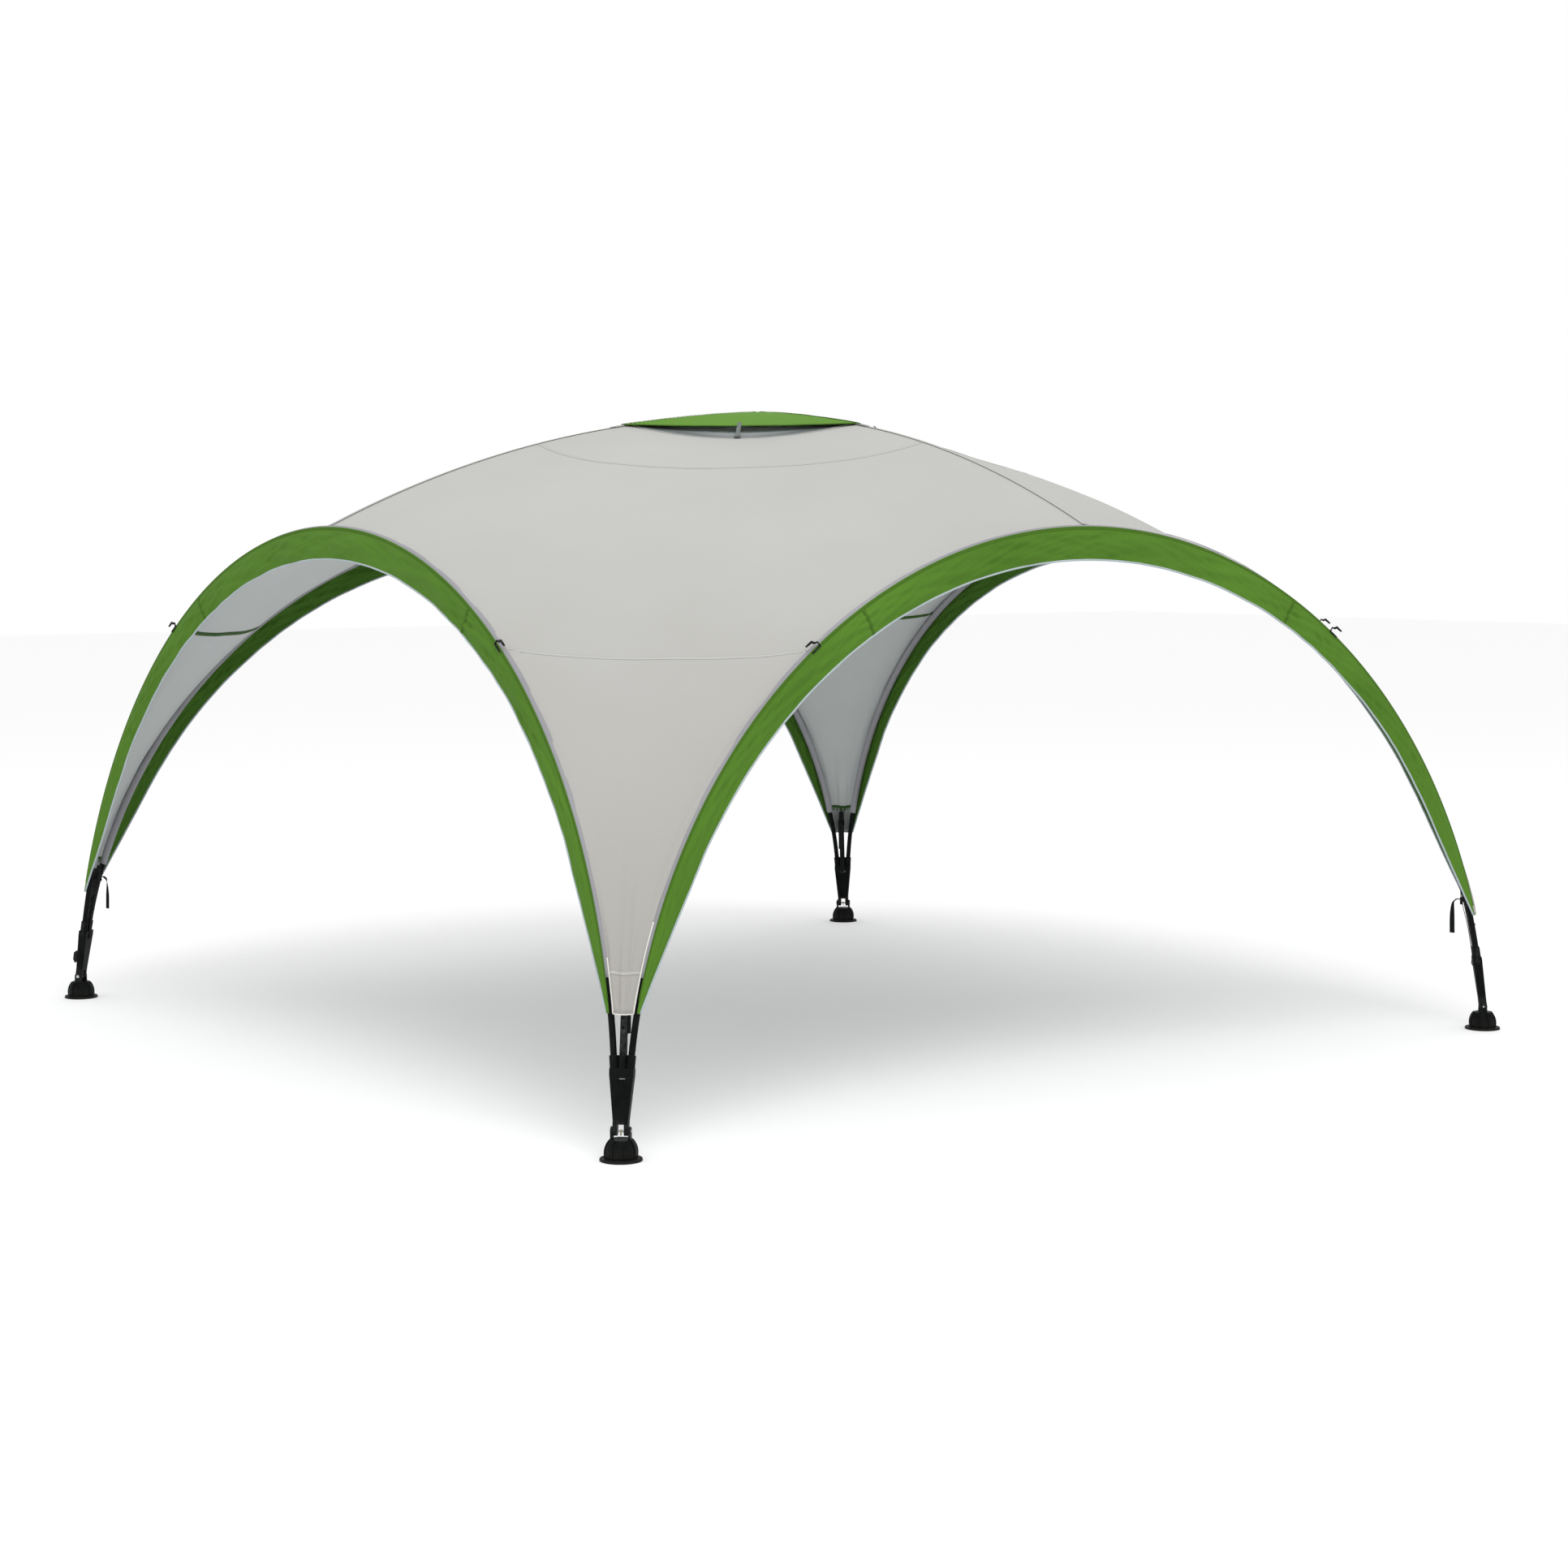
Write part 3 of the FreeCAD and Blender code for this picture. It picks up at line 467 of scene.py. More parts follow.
def seamMaterial(name, look):
    material, tree, shader = startMaterial(name)
    coords = tree.nodes.new("ShaderNodeTexCoord").outputs
    stitch = placeGroup(tree, "stitch", coords["UV"], Width=look["width"], Pitch=look["pitch"])
    weave = placeGroup(tree, "weave", coords["UV"], Threads=look["threads"])
    base = mixColour(tree, spread(tree, weave["Tone"], 0.3, 0.7), look["dark"], look["light"])
    finishShader(tree, shader, {
        "Base Color": mixColour(tree, stitch["Mask"], base, look["thread"]),
        "Roughness": 0.75, "Specular IOR Level": look["gloss"]})
    bumpChain(tree, shader, [(weave["Height"], 0.35, 0.0003), (stitch["Mask"], 0.5, 0.0006)])
    return material


def hardMaterial(name, look):
    material, tree, shader = startMaterial(name)
    place = tree.nodes.new("ShaderNodeTexCoord").outputs["Object"]
    grain = placeGroup(tree, "grain", place, Scale=look["grain"])
    wear = placeGroup(tree, "wear", place, Reach=look["wearReach"])
    dust = placeGroup(tree, "dust", place, Height=look["dustHeight"])
    base = mixColour(tree, spread(tree, grain["Tone"], 0.3, 0.7), look["dark"], look["light"])
    worn = mixColour(tree, wear["Mask"], base, look["worn"])
    dusty = mathNode(tree, "MULTIPLY", dust["Mask"], look["dust"])
    rough = spread(tree, grain["Tone"], 0.3, 0.7, look["rough"] - 0.07, look["rough"] + 0.07)
    finishShader(tree, shader, {
        "Base Color": mixColour(tree, dusty, worn, (0.30, 0.28, 0.25)), "Roughness": rough,
        "Metallic": look["metal"], "Coat Weight": look["coat"],
        "Specular IOR Level": look["gloss"]})
    bumpChain(tree, shader, [(grain["Height"], look["depth"], 0.0003)])
    return material


clothLook = {
    "threads": 2600.0, "creases": 5.0, "clouds": 1.4, "threadTone": 0.25, "rough": 0.62,
    "sheen": 0.01, "gloss": 0.05, "creaseDepth": 0.16, "weaveDepth": 0.25,
}
clothTones = {
    # the roof cloth's low colour is painted shade, darker towards the feet
    "roofCloth": {"dark": (0.405, 0.404, 0.385), "light": (0.440, 0.442, 0.428),
                  "thread": (0.46, 0.464, 0.452), "low": (0.362, 0.350, 0.328)},
    "roofLining": {"dark": (0.400, 0.425, 0.425), "light": (0.445, 0.468, 0.462),
                   "thread": (0.48, 0.50, 0.495), "gloss": 0.3, "rough": 0.5},
    "bandCloth": {"dark": (0.062, 0.152, 0.015), "light": (0.086, 0.202, 0.023),
                  "thread": (0.105, 0.235, 0.032), "creaseDepth": 0.45, "creases": 9.0},
    "bandLining": {"dark": (0.040, 0.110, 0.012), "light": (0.054, 0.140, 0.017),
                   "thread": (0.07, 0.165, 0.026), "creaseDepth": 0.35, "creases": 9.0},
    "capCloth": {"dark": (0.082, 0.208, 0.014), "light": (0.103, 0.248, 0.020),
                 "thread": (0.120, 0.275, 0.027)},
    "sleeveCloth": {"dark": (0.235, 0.235, 0.255), "light": (0.30, 0.30, 0.32),
                    "thread": (0.34, 0.34, 0.36)},
    "patchCloth": {"dark": (0.24, 0.265, 0.255), "light": (0.29, 0.315, 0.30),
                   "thread": (0.33, 0.35, 0.34)},
}
roofOuter, roofInner, bandOuter, bandInner, capOuter, sleeveCloth, patchCloth = (
    clothMaterial(name, {**clothLook, **tones}) for name, tones in clothTones.items())

seamLook = {"width": 0.012, "pitch": 0.0045, "threads": 1800.0, "gloss": 0.05}
seamTones = {
    # the roof seam cloth is painted light: lighter than the roof cloth, against the shade along
    # the raised seam strips
    "roofSeam": {"dark": (0.430, 0.428, 0.408), "light": (0.46, 0.46, 0.442),
                 "thread": (0.39, 0.39, 0.37)},
    "bandSeam": {"dark": (0.055, 0.135, 0.015), "light": (0.075, 0.17, 0.02),
                 "thread": (0.03, 0.07, 0.01)},
    "tapeSeam": {"dark": (0.035, 0.085, 0.02), "light": (0.05, 0.11, 0.028),
                 "thread": (0.02, 0.04, 0.01)},
    "hemBinding": {"dark": (0.70, 0.69, 0.63), "light": (0.80, 0.79, 0.74),
                   "thread": (0.5, 0.5, 0.46)},
    "pipingCord": {"dark": (0.36, 0.42, 0.44), "light": (0.46, 0.52, 0.54),
                   "thread": (0.3, 0.35, 0.37)},
    "greyWebbing": {"dark": (0.27, 0.29, 0.29), "light": (0.34, 0.36, 0.36),
                    "thread": (0.2, 0.21, 0.21), "width": 0.016, "threads": 1300.0},
    "blackWebbing": {"dark": (0.005, 0.0055, 0.0055), "light": (0.011, 0.012, 0.012),
                     "thread": (0.02, 0.021, 0.021), "width": 0.02, "threads": 1300.0},
}
roofSeam, bandSeam, tapeSeam, hemCloth, pipingCloth, greyWebbing, blackWebbing = (
    seamMaterial(name, {**seamLook, **tones}) for name, tones in seamTones.items())

plasticLook = {"grain": 1400.0, "wearReach": 0.53, "dustHeight": 0.05, "dust": 0.06,
               "rough": 0.48, "metal": 0.0, "coat": 0.0, "depth": 0.3, "gloss": 0.04}
poleLook = {"grain": 2200.0, "wearReach": 0.54, "dustHeight": 0.05, "dust": 0.0, "rough": 0.36,
            "metal": 0.0, "coat": 0.0, "depth": 0.15, "gloss": 0.05}
metalLook = {"grain": 3000.0, "wearReach": 0.55, "dustHeight": 0.05, "dust": 0.0, "rough": 0.3,
             "metal": 1.0, "coat": 0.0, "depth": 0.08, "gloss": 0.5}
hardTones = {
    "blackPlastic": {**plasticLook, "dark": (0.0028, 0.0036, 0.0033),
                     "light": (0.0070, 0.0082, 0.0076), "worn": (0.03, 0.03, 0.03)},
    "greyPlastic": {**plasticLook, "dark": (0.095, 0.115, 0.105),
                    "light": (0.13, 0.15, 0.14), "worn": (0.22, 0.23, 0.22), "dust": 0.0},
    "poleCoating": {**poleLook, "dark": (0.0030, 0.0036, 0.0036),
                    "light": (0.0075, 0.0082, 0.0084), "worn": (0.05, 0.05, 0.05)},
    "platedSteel": {**metalLook, "dark": (0.42, 0.43, 0.44), "light": (0.56, 0.57, 0.58),
                    "worn": (0.7, 0.7, 0.7)},
    "brassRing": {**metalLook, "dark": (0.55, 0.38, 0.13), "light": (0.72, 0.52, 0.22),
                  "worn": (0.85, 0.68, 0.35)},
}
blackPlastic, greyPlastic, poleCoat, plainSteel, warmBrass = (
    hardMaterial(name, tones) for name, tones in hardTones.items())


def makeNetMaterial(name, look):
    material, tree, shader = startMaterial(name)
    coords = tree.nodes.new("ShaderNodeTexCoord").outputs
    weave = placeGroup(tree, "weave", coords["UV"], Threads=look["threads"], Slub=0.0)
    crumple = placeGroup(tree, "crumple", coords["Object"], Creases=11.0, Clouds=6.0)
    hole = spread(tree, weave["Height"], look["hole"] - 0.06, look["hole"] + 0.06)
    rim = mixColour(tree, spread(tree, crumple["Mottle"], 0.3, 0.7), look["dark"], look["light"])
    # painted light: the net is much paler under the cap, making up for the cap's shadow; out at
    # the rim it keeps its own grey
    level = addNode(tree, "ShaderNodeVectorMath", {"operation": "MULTIPLY"})
    feed(tree, level.inputs[0], coords["Object"])
    feed(tree, level.inputs[1], (1.0, 1.0, 0.0))
    reach = addNode(tree, "ShaderNodeVectorMath", {"operation": "LENGTH"})
    feed(tree, reach.inputs[0], level.outputs[0])
    paintedLightFade = spread(tree, reach.outputs["Value"], 0.36, 0.46)
    finishShader(tree, shader, {
        "Base Color": mixColour(tree, paintedLightFade, look["paintedLightUnderCap"], rim), "Alpha": hole,
        "Roughness": 0.8})
    bumpChain(tree, shader, [(crumple["Height"], 0.3, 0.004), (weave["Height"], 0.3, 0.0004)])
    return material


# the pale colour used under the cap is painted light against the cap's shadow
ventNet = makeNetMaterial("ventNet", {
    "threads": 1100.0, "hole": 0.62, "dark": (0.13, 0.15, 0.15), "light": (0.17, 0.19, 0.19),
    "paintedLightUnderCap": (0.58, 0.63, 0.63)})
print("materials ready")

cadFinish = {
    "foot_base": blackPlastic, "leg_bracket": blackPlastic, "leg_cleat": blackPlastic,
    "foot_pins": plainSteel, "pin_rings": warmBrass, "pole_button": blackPlastic,
    "pole_inserts": poleCoat, "arch_tees": blackPlastic, "hub": blackPlastic,
    "arch_leg_pole": poleCoat, "arch_crown_pole": poleCoat, "roof_pole": poleCoat,
    "corner_strut": poleCoat, "strap_buckles": blackPlastic, "guy_hooks": blackPlastic,
    "vent_prop_clips": greyPlastic, "vent_prop": greyPlastic,
}
for node, obj in nodes.items():
    for start, material in cadFinish.items():
        if node.startswith(start):
            for place in obj.material_slots:
                place.material = material


# corner panels

panelLook = {
    "rows": 150, "columns": 97, "thickness": 0.0007, "edgeRise": 0.0135, "edgeOffset": 0.002,
    "ringEdge": 0.93, "ringMiddle": 0.165, "crossHeight": 1.405, "crossMiddle": 1.372,
    "lowSeamHeight": 0.515, "wrinkle": 0.0016, "ripple": 0.0022, "fold": 0.004,
    "seamPoints": 73, "seamLift": 0.0006, "tapeLift": -0.0013, "seamThickness": 0.0006,
    "hemPoints": 61, "hemLift": -0.0003, "hemRadius": 0.0021, "cordLift": 0.0008,
    "cordRadius": 0.0024, "patchReach": 0.9, "patchLift": -0.0016,
    "flat": (2.5, 3.15), "area": 3.35,
}
hemAngle = archAngle(shape["hemHeight"], panelLook["edgeRise"])
ridgeRun = archTopX - shape["ventRadius"]
ridgeShare = ridgeRun / (ridgeRun + hemAngle * (poleHalfSpan + poleRise) / 2)


def panelEdge(u):
    if u < ridgeShare:
        return ridgePoint(shape["ventRadius"] + ridgeRun * u / ridgeShare)
    angle = hemAngle * (u - ridgeShare) / (1 - ridgeShare)
    return archPoint(angle, panelLook["edgeRise"], panelLook["edgeOffset"])


def panelMiddle(u):
    angle = midStart + (midEnd - midStart) * u
    reach = midReach * math.sin(angle) / math.sqrt(2)
    return Vector((reach, reach, midRise * math.cos(angle)))


def panelBare(u, v):
    near = panelEdge(u)
    far = swapped(near)
    return (panelMiddle(u) * (1 - v * v) + near * (v * (v - 1) / 2) + far * (v * (v + 1) / 2))


def panelNormal(u, v):
    lowU, highU = max(u - 0.01, 0.0), min(u + 0.01, 1.0)
    lowV, highV = max(v - 0.03, -1.0), min(v + 0.03, 1.0)
    down = panelBare(highU, v) - panelBare(lowU, v)
    over = panelBare(u, highV) - panelBare(u, lowV)
    normal = down.cross(over).normalized()
    return normal if normal.dot(Vector((0.5, 0.5, 1.0))) > 0 else -normal


def edgeShare(height):
    angle = archAngle(height, panelLook["edgeRise"])
    return ridgeShare + (1 - ridgeShare) * angle / hemAngle


def middleShare(height):
    return (math.acos(height / midRise) - midStart) / (midEnd - midStart)


crossEdge = edgeShare(panelLook["crossHeight"])
crossMid = middleShare(panelLook["crossMiddle"])
lowEdge = edgeShare(panelLook["lowSeamHeight"])
lowMid = middleShare(panelLook["lowSeamHeight"])
ringEdge = ridgeShare * (panelLook["ringEdge"] - shape["ventRadius"]) / ridgeRun
ringMid = panelLook["ringMiddle"]


def crossShare(v):
    return crossMid + (crossEdge - crossMid) * v * v


def lowShare(v):
    return lowMid + (lowEdge - lowMid) * v * v


def ringShare(v):
    return ringEdge + (ringMid - ringEdge) * (1 - v * v)


def panelRelief(u, v):
    # pulls from the arches, slack ripples and the folds above the hem, in metres
    inward = 1 - abs(v)
    onArch = smooth((u - ridgeShare) / 0.05)
    pull = math.sin(u * 95 + 3 * v) * math.exp(-inward / 0.10) * smooth(inward / 0.03) * onArch
    atCross = bump(u, crossShare(v), 0.018) * math.sin(u * 420 + v * 9) * bump(inward, 0.1, 0.14)
    seamDip = -0.7 * bump(u, crossShare(v), 0.006)
    crease = noise.noise(Vector((u * 26.0 + v * 5.0, v * 2.0, 8.0))) * bump(inward, 0.12, 0.16)
    slack = noise.noise(Vector((u * 7.0, v * 3.2, 1.7))) * smooth(inward / 0.25)
    slack += 0.5 * noise.noise(Vector((u * 17.0, v * 6.0, 4.1))) * smooth(inward / 0.2)
    low = smooth((u - 0.78) / 0.15) * smooth(inward / 0.15)
    fold = bump(v, 0.34 - 1.1 * (1 - u), 0.10) - 0.7 * bump(v, -0.30 + 0.9 * (1 - u), 0.09)
    return (panelLook["wrinkle"] * (pull + 0.8 * atCross + 1.5 * crease * onArch)
            + 0.0012 * seamDip
            + panelLook["ripple"] * slack + panelLook["fold"] * fold * low)


def panelPoint(u, v, lift=0.0):
    ends = smooth(u / 0.02) * smooth((1 - u) / 0.01)
    return panelBare(u, v) + panelNormal(u, v) * (panelRelief(u, v) * ends + lift)


def panelUv(u, v):
    width = (panelEdge(u) - swapped(panelEdge(u))).length
    return (v * width / 2, u * 3.3)


def panelLine(quarter, shareOf, fromV, toV, count, lift):
    return sampled(lambda v: turned(panelPoint(shareOf(v), v, lift), quarter), fromV, toV, count)


def downPanel(quarter, shareOf, fromV, toV, count):
    # direction across a seam that runs over the panel
    def side(index):
        v = fromV + (toV - fromV) * index / (count - 1)
        u = min(shareOf(v), 0.985)
        return turned(panelBare(u + 0.01, v) - panelBare(u, v), quarter)
    return side


def buildPanel(quarter, corner):
    look = panelLook
    panel = clothGrid("roofPanel_" + corner, look["rows"], look["columns"],
                      lambda a, b: turned(panelPoint(a, b * 2 - 1), quarter),
                      lambda a, b: panelUv(a, b * 2 - 1), [roofOuter, roofInner],
                      look["thickness"], flip=True)
    lists = newLists()
    # sewn lines on the outside, with their tapes inside
    count = look["seamPoints"]
    for shareOf, width, lift, mark, start in (
            (ringShare, 0.010, look["seamLift"], 0, -0.99),
            (crossShare, 0.011, look["seamLift"], 0, -0.98),
            (lowShare, 0.010, look["seamLift"], 0, -0.97),
            (crossShare, 0.018, look["tapeLift"], 1, -0.98),
            (lowShare, 0.024, look["tapeLift"], 1, -0.97)):
        line = panelLine(quarter, shareOf, start, -start, count, lift)
        ribbonAlong(lists, line, width, look["seamThickness"],
                    downPanel(quarter, shareOf, start, -start, count), mark, segments=2)
    # binding on the vent edge and the white hem, which climbs a little way up both sides
    for u, mark in ((0.0, 0), (1.0, 2)):
        line = panelLine(quarter, lambda v: u, -1, 1, look["hemPoints"], look["hemLift"])
        tubeAlong(lists, line, look["hemRadius"], 8, lambda index: straightUp, mark)
    for v, top in ((-0.985, 0.955), (0.985, 0.925)):
        line = sampled(lambda u: turned(panelPoint(u, v, look["cordLift"]), quarter), top, 1.0, 24)
        tubeAlong(lists, line, look["cordRadius"], 8, lambda index: straightUp, 2)
    seamPiece = meshFromLists("panelSeams_" + corner, lists, [roofSeam, tapeSeam, hemCloth])

    # reinforcing patch inside the hem, over the strut's top
    def patchPoint(a, b):
        v = (b * 2 - 1) * look["patchReach"]
        top = lowShare(v)
        return turned(panelPoint(top + (0.995 - top) * a, v, look["patchLift"]), quarter)

    patch = clothGrid("hemPatch_" + corner, 24, 25, patchPoint,
                      lambda a, b: (b * 0.2, a * 0.15), [patchCloth], 0.0006)
    for piece in (panel, seamPiece, patch):
        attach(piece, shelter)
    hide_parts("roof_panel_" + corner)


for quarter, corner in enumerate(corners):
    buildPanel(quarter, corner)
print("corner panels done")


# pole sleeves

sleeveLook = {
    "archRadius": 0.0136, "ridgeRadius": 0.0138, "archEnd": 0.50, "around": 20,
    "thickness": 0.0005, "ruck": 0.0006, "ridgeStart": 0.60, "ridgeStop": 0.055,
    "ridgeDrop": 0.0154, "seamStart": 0.56, "seamLift": 0.0004, "seamWidth": 0.016,
}


def sleeveAlong(name, line, radiusAt, sideways, material):
    verts, uvs = ringsAlong(line, sleeveLook["around"], radiusAt, lambda index: sideways)
    faces = gridFaces(len(line), sleeveLook["around"], closed=True)
    sleeve = meshFromLists(name, (verts, faces, uvs, []), [material])
    solid = sleeve.modifiers.new("thickness", "SOLIDIFY")
    solid.thickness = sleeveLook["thickness"]
    solid.offset = -1
    return sleeve


def buildArchSleeve(quarter, side):
    def radiusAt(length, turn):
        place = Vector((length * 9, math.cos(turn) * 1.5, quarter * 3.0))
        return sleeveLook["archRadius"] + sleeveLook["ruck"] * noise.noise(place)

    end = archAngle(sleeveLook["archEnd"])
    line = sampled(lambda angle: turned(archPoint(angle), quarter), -end, end, 241)
    sleeve = sleeveAlong("archSleeve_" + side, line, radiusAt, turned(archNormal, quarter),
                         sleeveCloth)
    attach(sleeve, shelter)


def buildRidgeSleeve(quarter, side):
    look = sleeveLook
    sideways = turned(Vector((0, 1, 0)), quarter)
    line = sampled(lambda reach: turned(ridgePoint(reach, look["ridgeDrop"]), quarter),
                   look["ridgeStart"], archTopX - look["ridgeStop"], 61)
    sleeve = sleeveAlong("ridgeSleeve_" + side, line, lambda length, turn: look["ridgeRadius"],
                         sideways, roofInner)
    # flat-felled seam on top of the ridge
    lists = newLists()
    top = sampled(lambda reach: turned(ridgePoint(reach, -look["seamLift"]), quarter),
                  look["seamStart"], archTopX, 61)
    ribbonAlong(lists, top, look["seamWidth"], 0.0008, lambda index: sideways,
                crown=look["seamLift"])
    seam = meshFromLists("ridgeSeam_" + side, lists, [roofSeam])
    for piece in (sleeve, seam):
        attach(piece, shelter)


for quarter, side in enumerate(sides):
    buildArchSleeve(quarter, side)
    buildRidgeSleeve(quarter, side)
print("pole sleeves done")


# arch bands

bandLook = {
    "rows": 27, "columns": 401, "thickness": 0.0008, "topRise": 0.0085, "topOffset": 0.0118,
    "depthAtTop": 0.112, "depthAtShoulder": 0.073, "shoulderHeight": 0.82, "endHeight": 0.407,
    "shoulderGap": 0.022, "toe": 0.008, "tuck": 0.006, "billow": 0.003, "hugRadius": 0.0146,
    "wrinkle": 0.0030, "gatherReach": 0.035, "jointHeight": 1.527, "trimPoints": 301,
    "pipingRadius": 0.0032, "seamEnd": 0.985, "seamThickness": 0.0006,
    "flat": (4.5, 0.12), "area": 0.44,
}
bandTopAngle = archAngle(bandLook["endHeight"], shape["seamRise"])
lowRise = shape["seamRise"] - bandLook["depthAtTop"]
lowSpan = shape["seamRise"] - bandLook["depthAtShoulder"]
shoulderAngle = archAngle(bandLook["shoulderHeight"], lowRise)
shoulderTop = archAngle(bandLook["shoulderHeight"] + bandLook["shoulderGap"],
                        shape["seamRise"]) / bandTopAngle
jointTop = archAngle(bandLook["jointHeight"], shape["seamRise"]) / bandTopAngle


def bandTop(t):
    return archPoint(t * bandTopAngle, bandLook["topRise"], bandLook["topOffset"])


def bandLow(t):
    way = 1 if t > 0 else -1
    if abs(t) <= shoulderTop:
        return archPoint(t / shoulderTop * shoulderAngle, lowRise, bandLook["topOffset"], lowSpan)
    share = (abs(t) - shoulderTop) / (1 - shoulderTop)
    shoulder = archPoint(shoulderAngle * way, lowRise, bandLook["topOffset"], lowSpan)
    toe = bandTop(way) - Vector((0, bandLook["toe"] * way, 0))
    return shoulder.lerp(toe, share)


def bandPoint(t, s, lift=0.0):
    # s is 0 at the upper edge and 1 at the piped edge
    top, low = bandTop(t), bandLow(t)
    depth = (low - top).length
    near = smooth(depth / 0.09)
    # the cloth wraps over the sleeve first, then hangs
    rise = max(bandLook["topRise"] - depth * s, 0.0)
    hug = math.sqrt(bandLook["hugRadius"] ** 2 - rise ** 2) - bandLook["topOffset"]
    out = hug + bandLook["billow"] * math.sin(math.pi * min(s * 1.1, 1.0))
    out -= bandLook["tuck"] * s * s * near
    seam = 0.0
    for place in (-jointTop, jointTop, 0.0):
        gather = math.exp(-abs(t - place) / bandLook["gatherReach"])
        seam += gather * math.sin(26 * s + 150 * abs(t - place) + place * 5)
    pull = math.sin(t * 74 + s * 4) * math.exp(-s / 0.35)
    slack = noise.noise(Vector((t * 19, s * 1.3, 2.0))) + 0.6 * noise.noise(
        Vector((t * 47, s * 2.2, 7.0)))
    streak = noise.noise(Vector((t * 8.0, s * 4.2 + abs(t) * 21.0, 5.0)))
    streak += 0.7 * noise.noise(Vector((t * 15.0, s * 7.5 - abs(t) * 30.0, 9.0)))
    wave = bandLook["wrinkle"] * (0.7 * seam + 0.3 * pull + 0.6 * slack + 2.4 * streak) * near
    wave *= smooth((s - 0.10) / 0.25) * (1 - 0.5 * smooth((s - 0.75) / 0.25))
    return top.lerp(low, s) + archNormal * (out + wave + lift)


def buildBand(quarter, side):
    look = bandLook
    band = clothGrid("archBand_" + side, look["rows"], look["columns"],
                     lambda a, b: turned(bandPoint(b * 2 - 1, a), quarter),
                     lambda a, b: ((b * 2 - 1) * 2.4, a * 0.12), [bandOuter, bandInner],
                     look["thickness"], flip=True)
    lists = newLists()
    normal = turned(archNormal, quarter)
    piping = sampled(lambda t: turned(bandPoint(t, 1.0, -0.0004), quarter), -1, 1,
                     look["trimPoints"])
    tubeAlong(lists, piping, look["pipingRadius"], 10, lambda index: normal)
    # top stitching strip and the short seams across the band at the pole joints
    end = look["seamEnd"]
    line = sampled(lambda t: turned(bandPoint(t, 0.06, 0.0005), quarter), -end, end,
                   look["trimPoints"])
    down = sampled(lambda t: turned(bandLow(t) - bandTop(t), quarter), -end, end,
                   look["trimPoints"])
    ribbonAlong(lists, line, 0.009, look["seamThickness"], lambda index: down[index], 1,
                segments=2)
    for place in (-jointTop, jointTop):
        along = turned(bandTop(place + 0.01) - bandTop(place), quarter)
        for lift in (0.0005, -0.0013):
            line = sampled(lambda s: turned(bandPoint(place, s, lift), quarter), 0.03, 0.98, 25)
            ribbonAlong(lists, line, 0.010, 0.0007, lambda index: along, 1, segments=2)
    trim = meshFromLists("bandTrim_" + side, lists, [pipingCloth, bandSeam])
    for piece in (band, trim):
        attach(piece, shelter)
    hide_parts("arch_band_" + side)


for quarter, side in enumerate(sides):
    buildBand(quarter, side)
print("arch bands done")


# vent cap, net and tabs

ventLook = {
    "capRadius": 0.584, "capRise": 0.021, "cornerLift": 0.0068, "capCurve": 1.45,
    "sag": 0.007, "edgeDip": 0.004, "pullIn": 0.030, "capRuffle": 0.0012,
    "bindingWidth": 0.010, "ribWidth": 0.011,
    "collar": 0.054, "netDrop": 0.005, "netFall": 2.0, "netSlack": 0.6, "netRuffle": 0.0025,
    "tabStart": 0.572, "tabLength": 0.060, "tabLift": 0.0022, "tabRise": 0.0020,
    "tabWidth": 0.018,
}
capTop = shape["roofHeight"] + ventLook["capRise"]
capCorner = ridgePoint(ventLook["capRadius"]).z + ventLook["cornerLift"]


def capPoint(p, q):
    # p and q run along the cap's two pairs of edges
    x, y = (p + q) / 2, (q - p) / 2
    size = abs(x) + abs(y)
    radius = ventLook["capRadius"]
    z = capTop - (capTop - capCorner) * size ** ventLook["capCurve"]
    facet = 4 * abs(x) * abs(y)
    z -= ventLook["sag"] * facet * (1.2 - size) * 2 + ventLook["edgeDip"] * facet * size
    z += ventLook["capRuffle"] * noise.noise(Vector((x * 6, y * 6, 3.0)))
    pullIn = 1 - ventLook["pullIn"] * (1 - ((abs(x) - abs(y)) / max(size, 1e-6)) ** 2) * size
    return Vector((x * radius * pullIn, y * radius * pullIn, z))


def buildCap():
    cap = clothGrid("ventCap", 65, 65, lambda a, b: capPoint(a * 2 - 1, b * 2 - 1),
                    lambda a, b: (a * 0.8, b * 0.8), [capOuter, bandInner], 0.0008,
                    flip=True)
    lists = newLists()
    border = []
    turns = ((-1, -1), (1, -1), (1, 1), (-1, 1), (-1, -1))
    for start, end in zip(turns, turns[1:]):
        for step in range(40):
            share = step / 40
            border.append(capPoint(start[0] + (end[0] - start[0]) * share,
                                   start[1] + (end[1] - start[1]) * share))
    border.append(border[0].copy())
    ribbonAlong(lists, border, ventLook["bindingWidth"], 0.0018,
                lambda index: Vector((-border[index].x, -border[index].y, 0.1)), segments=2)
    # seams from the middle to the four corners
    for turn in range(4):
        way = 1 if turn % 2 == 0 else -1
        line = sampled(lambda share: turned(capPoint(way * share, share), turn // 2 * 2)
                       + straightUp * 0.0007, 0.02, 0.98, 41)
        across = Vector((0, 1, 0)) if turn % 2 == 0 else Vector((1, 0, 0))
        ribbonAlong(lists, line, ventLook["ribWidth"], 0.0008, lambda index: across, segments=2)
    trim = meshFromLists("capTrim", lists, [bandSeam])
    for piece in (cap, trim):
        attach(piece, shelter)
    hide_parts("vent_cap")


def panelVentEdge(turn):
    # the vent edge of the panels at an angle round the hub
    quarter = int(turn // (math.pi / 2)) % 4
    local = turn - quarter * math.pi / 2
    low, high = -1.0, 1.0
    for _ in range(30):
        middle = (low + high) / 2
        spot = panelBare(0.0, middle)
        if math.atan2(spot.y, spot.x) < local:
            low = middle
        else:
            high = middle
    return turned(panelBare(0.0, (low + high) / 2), quarter)


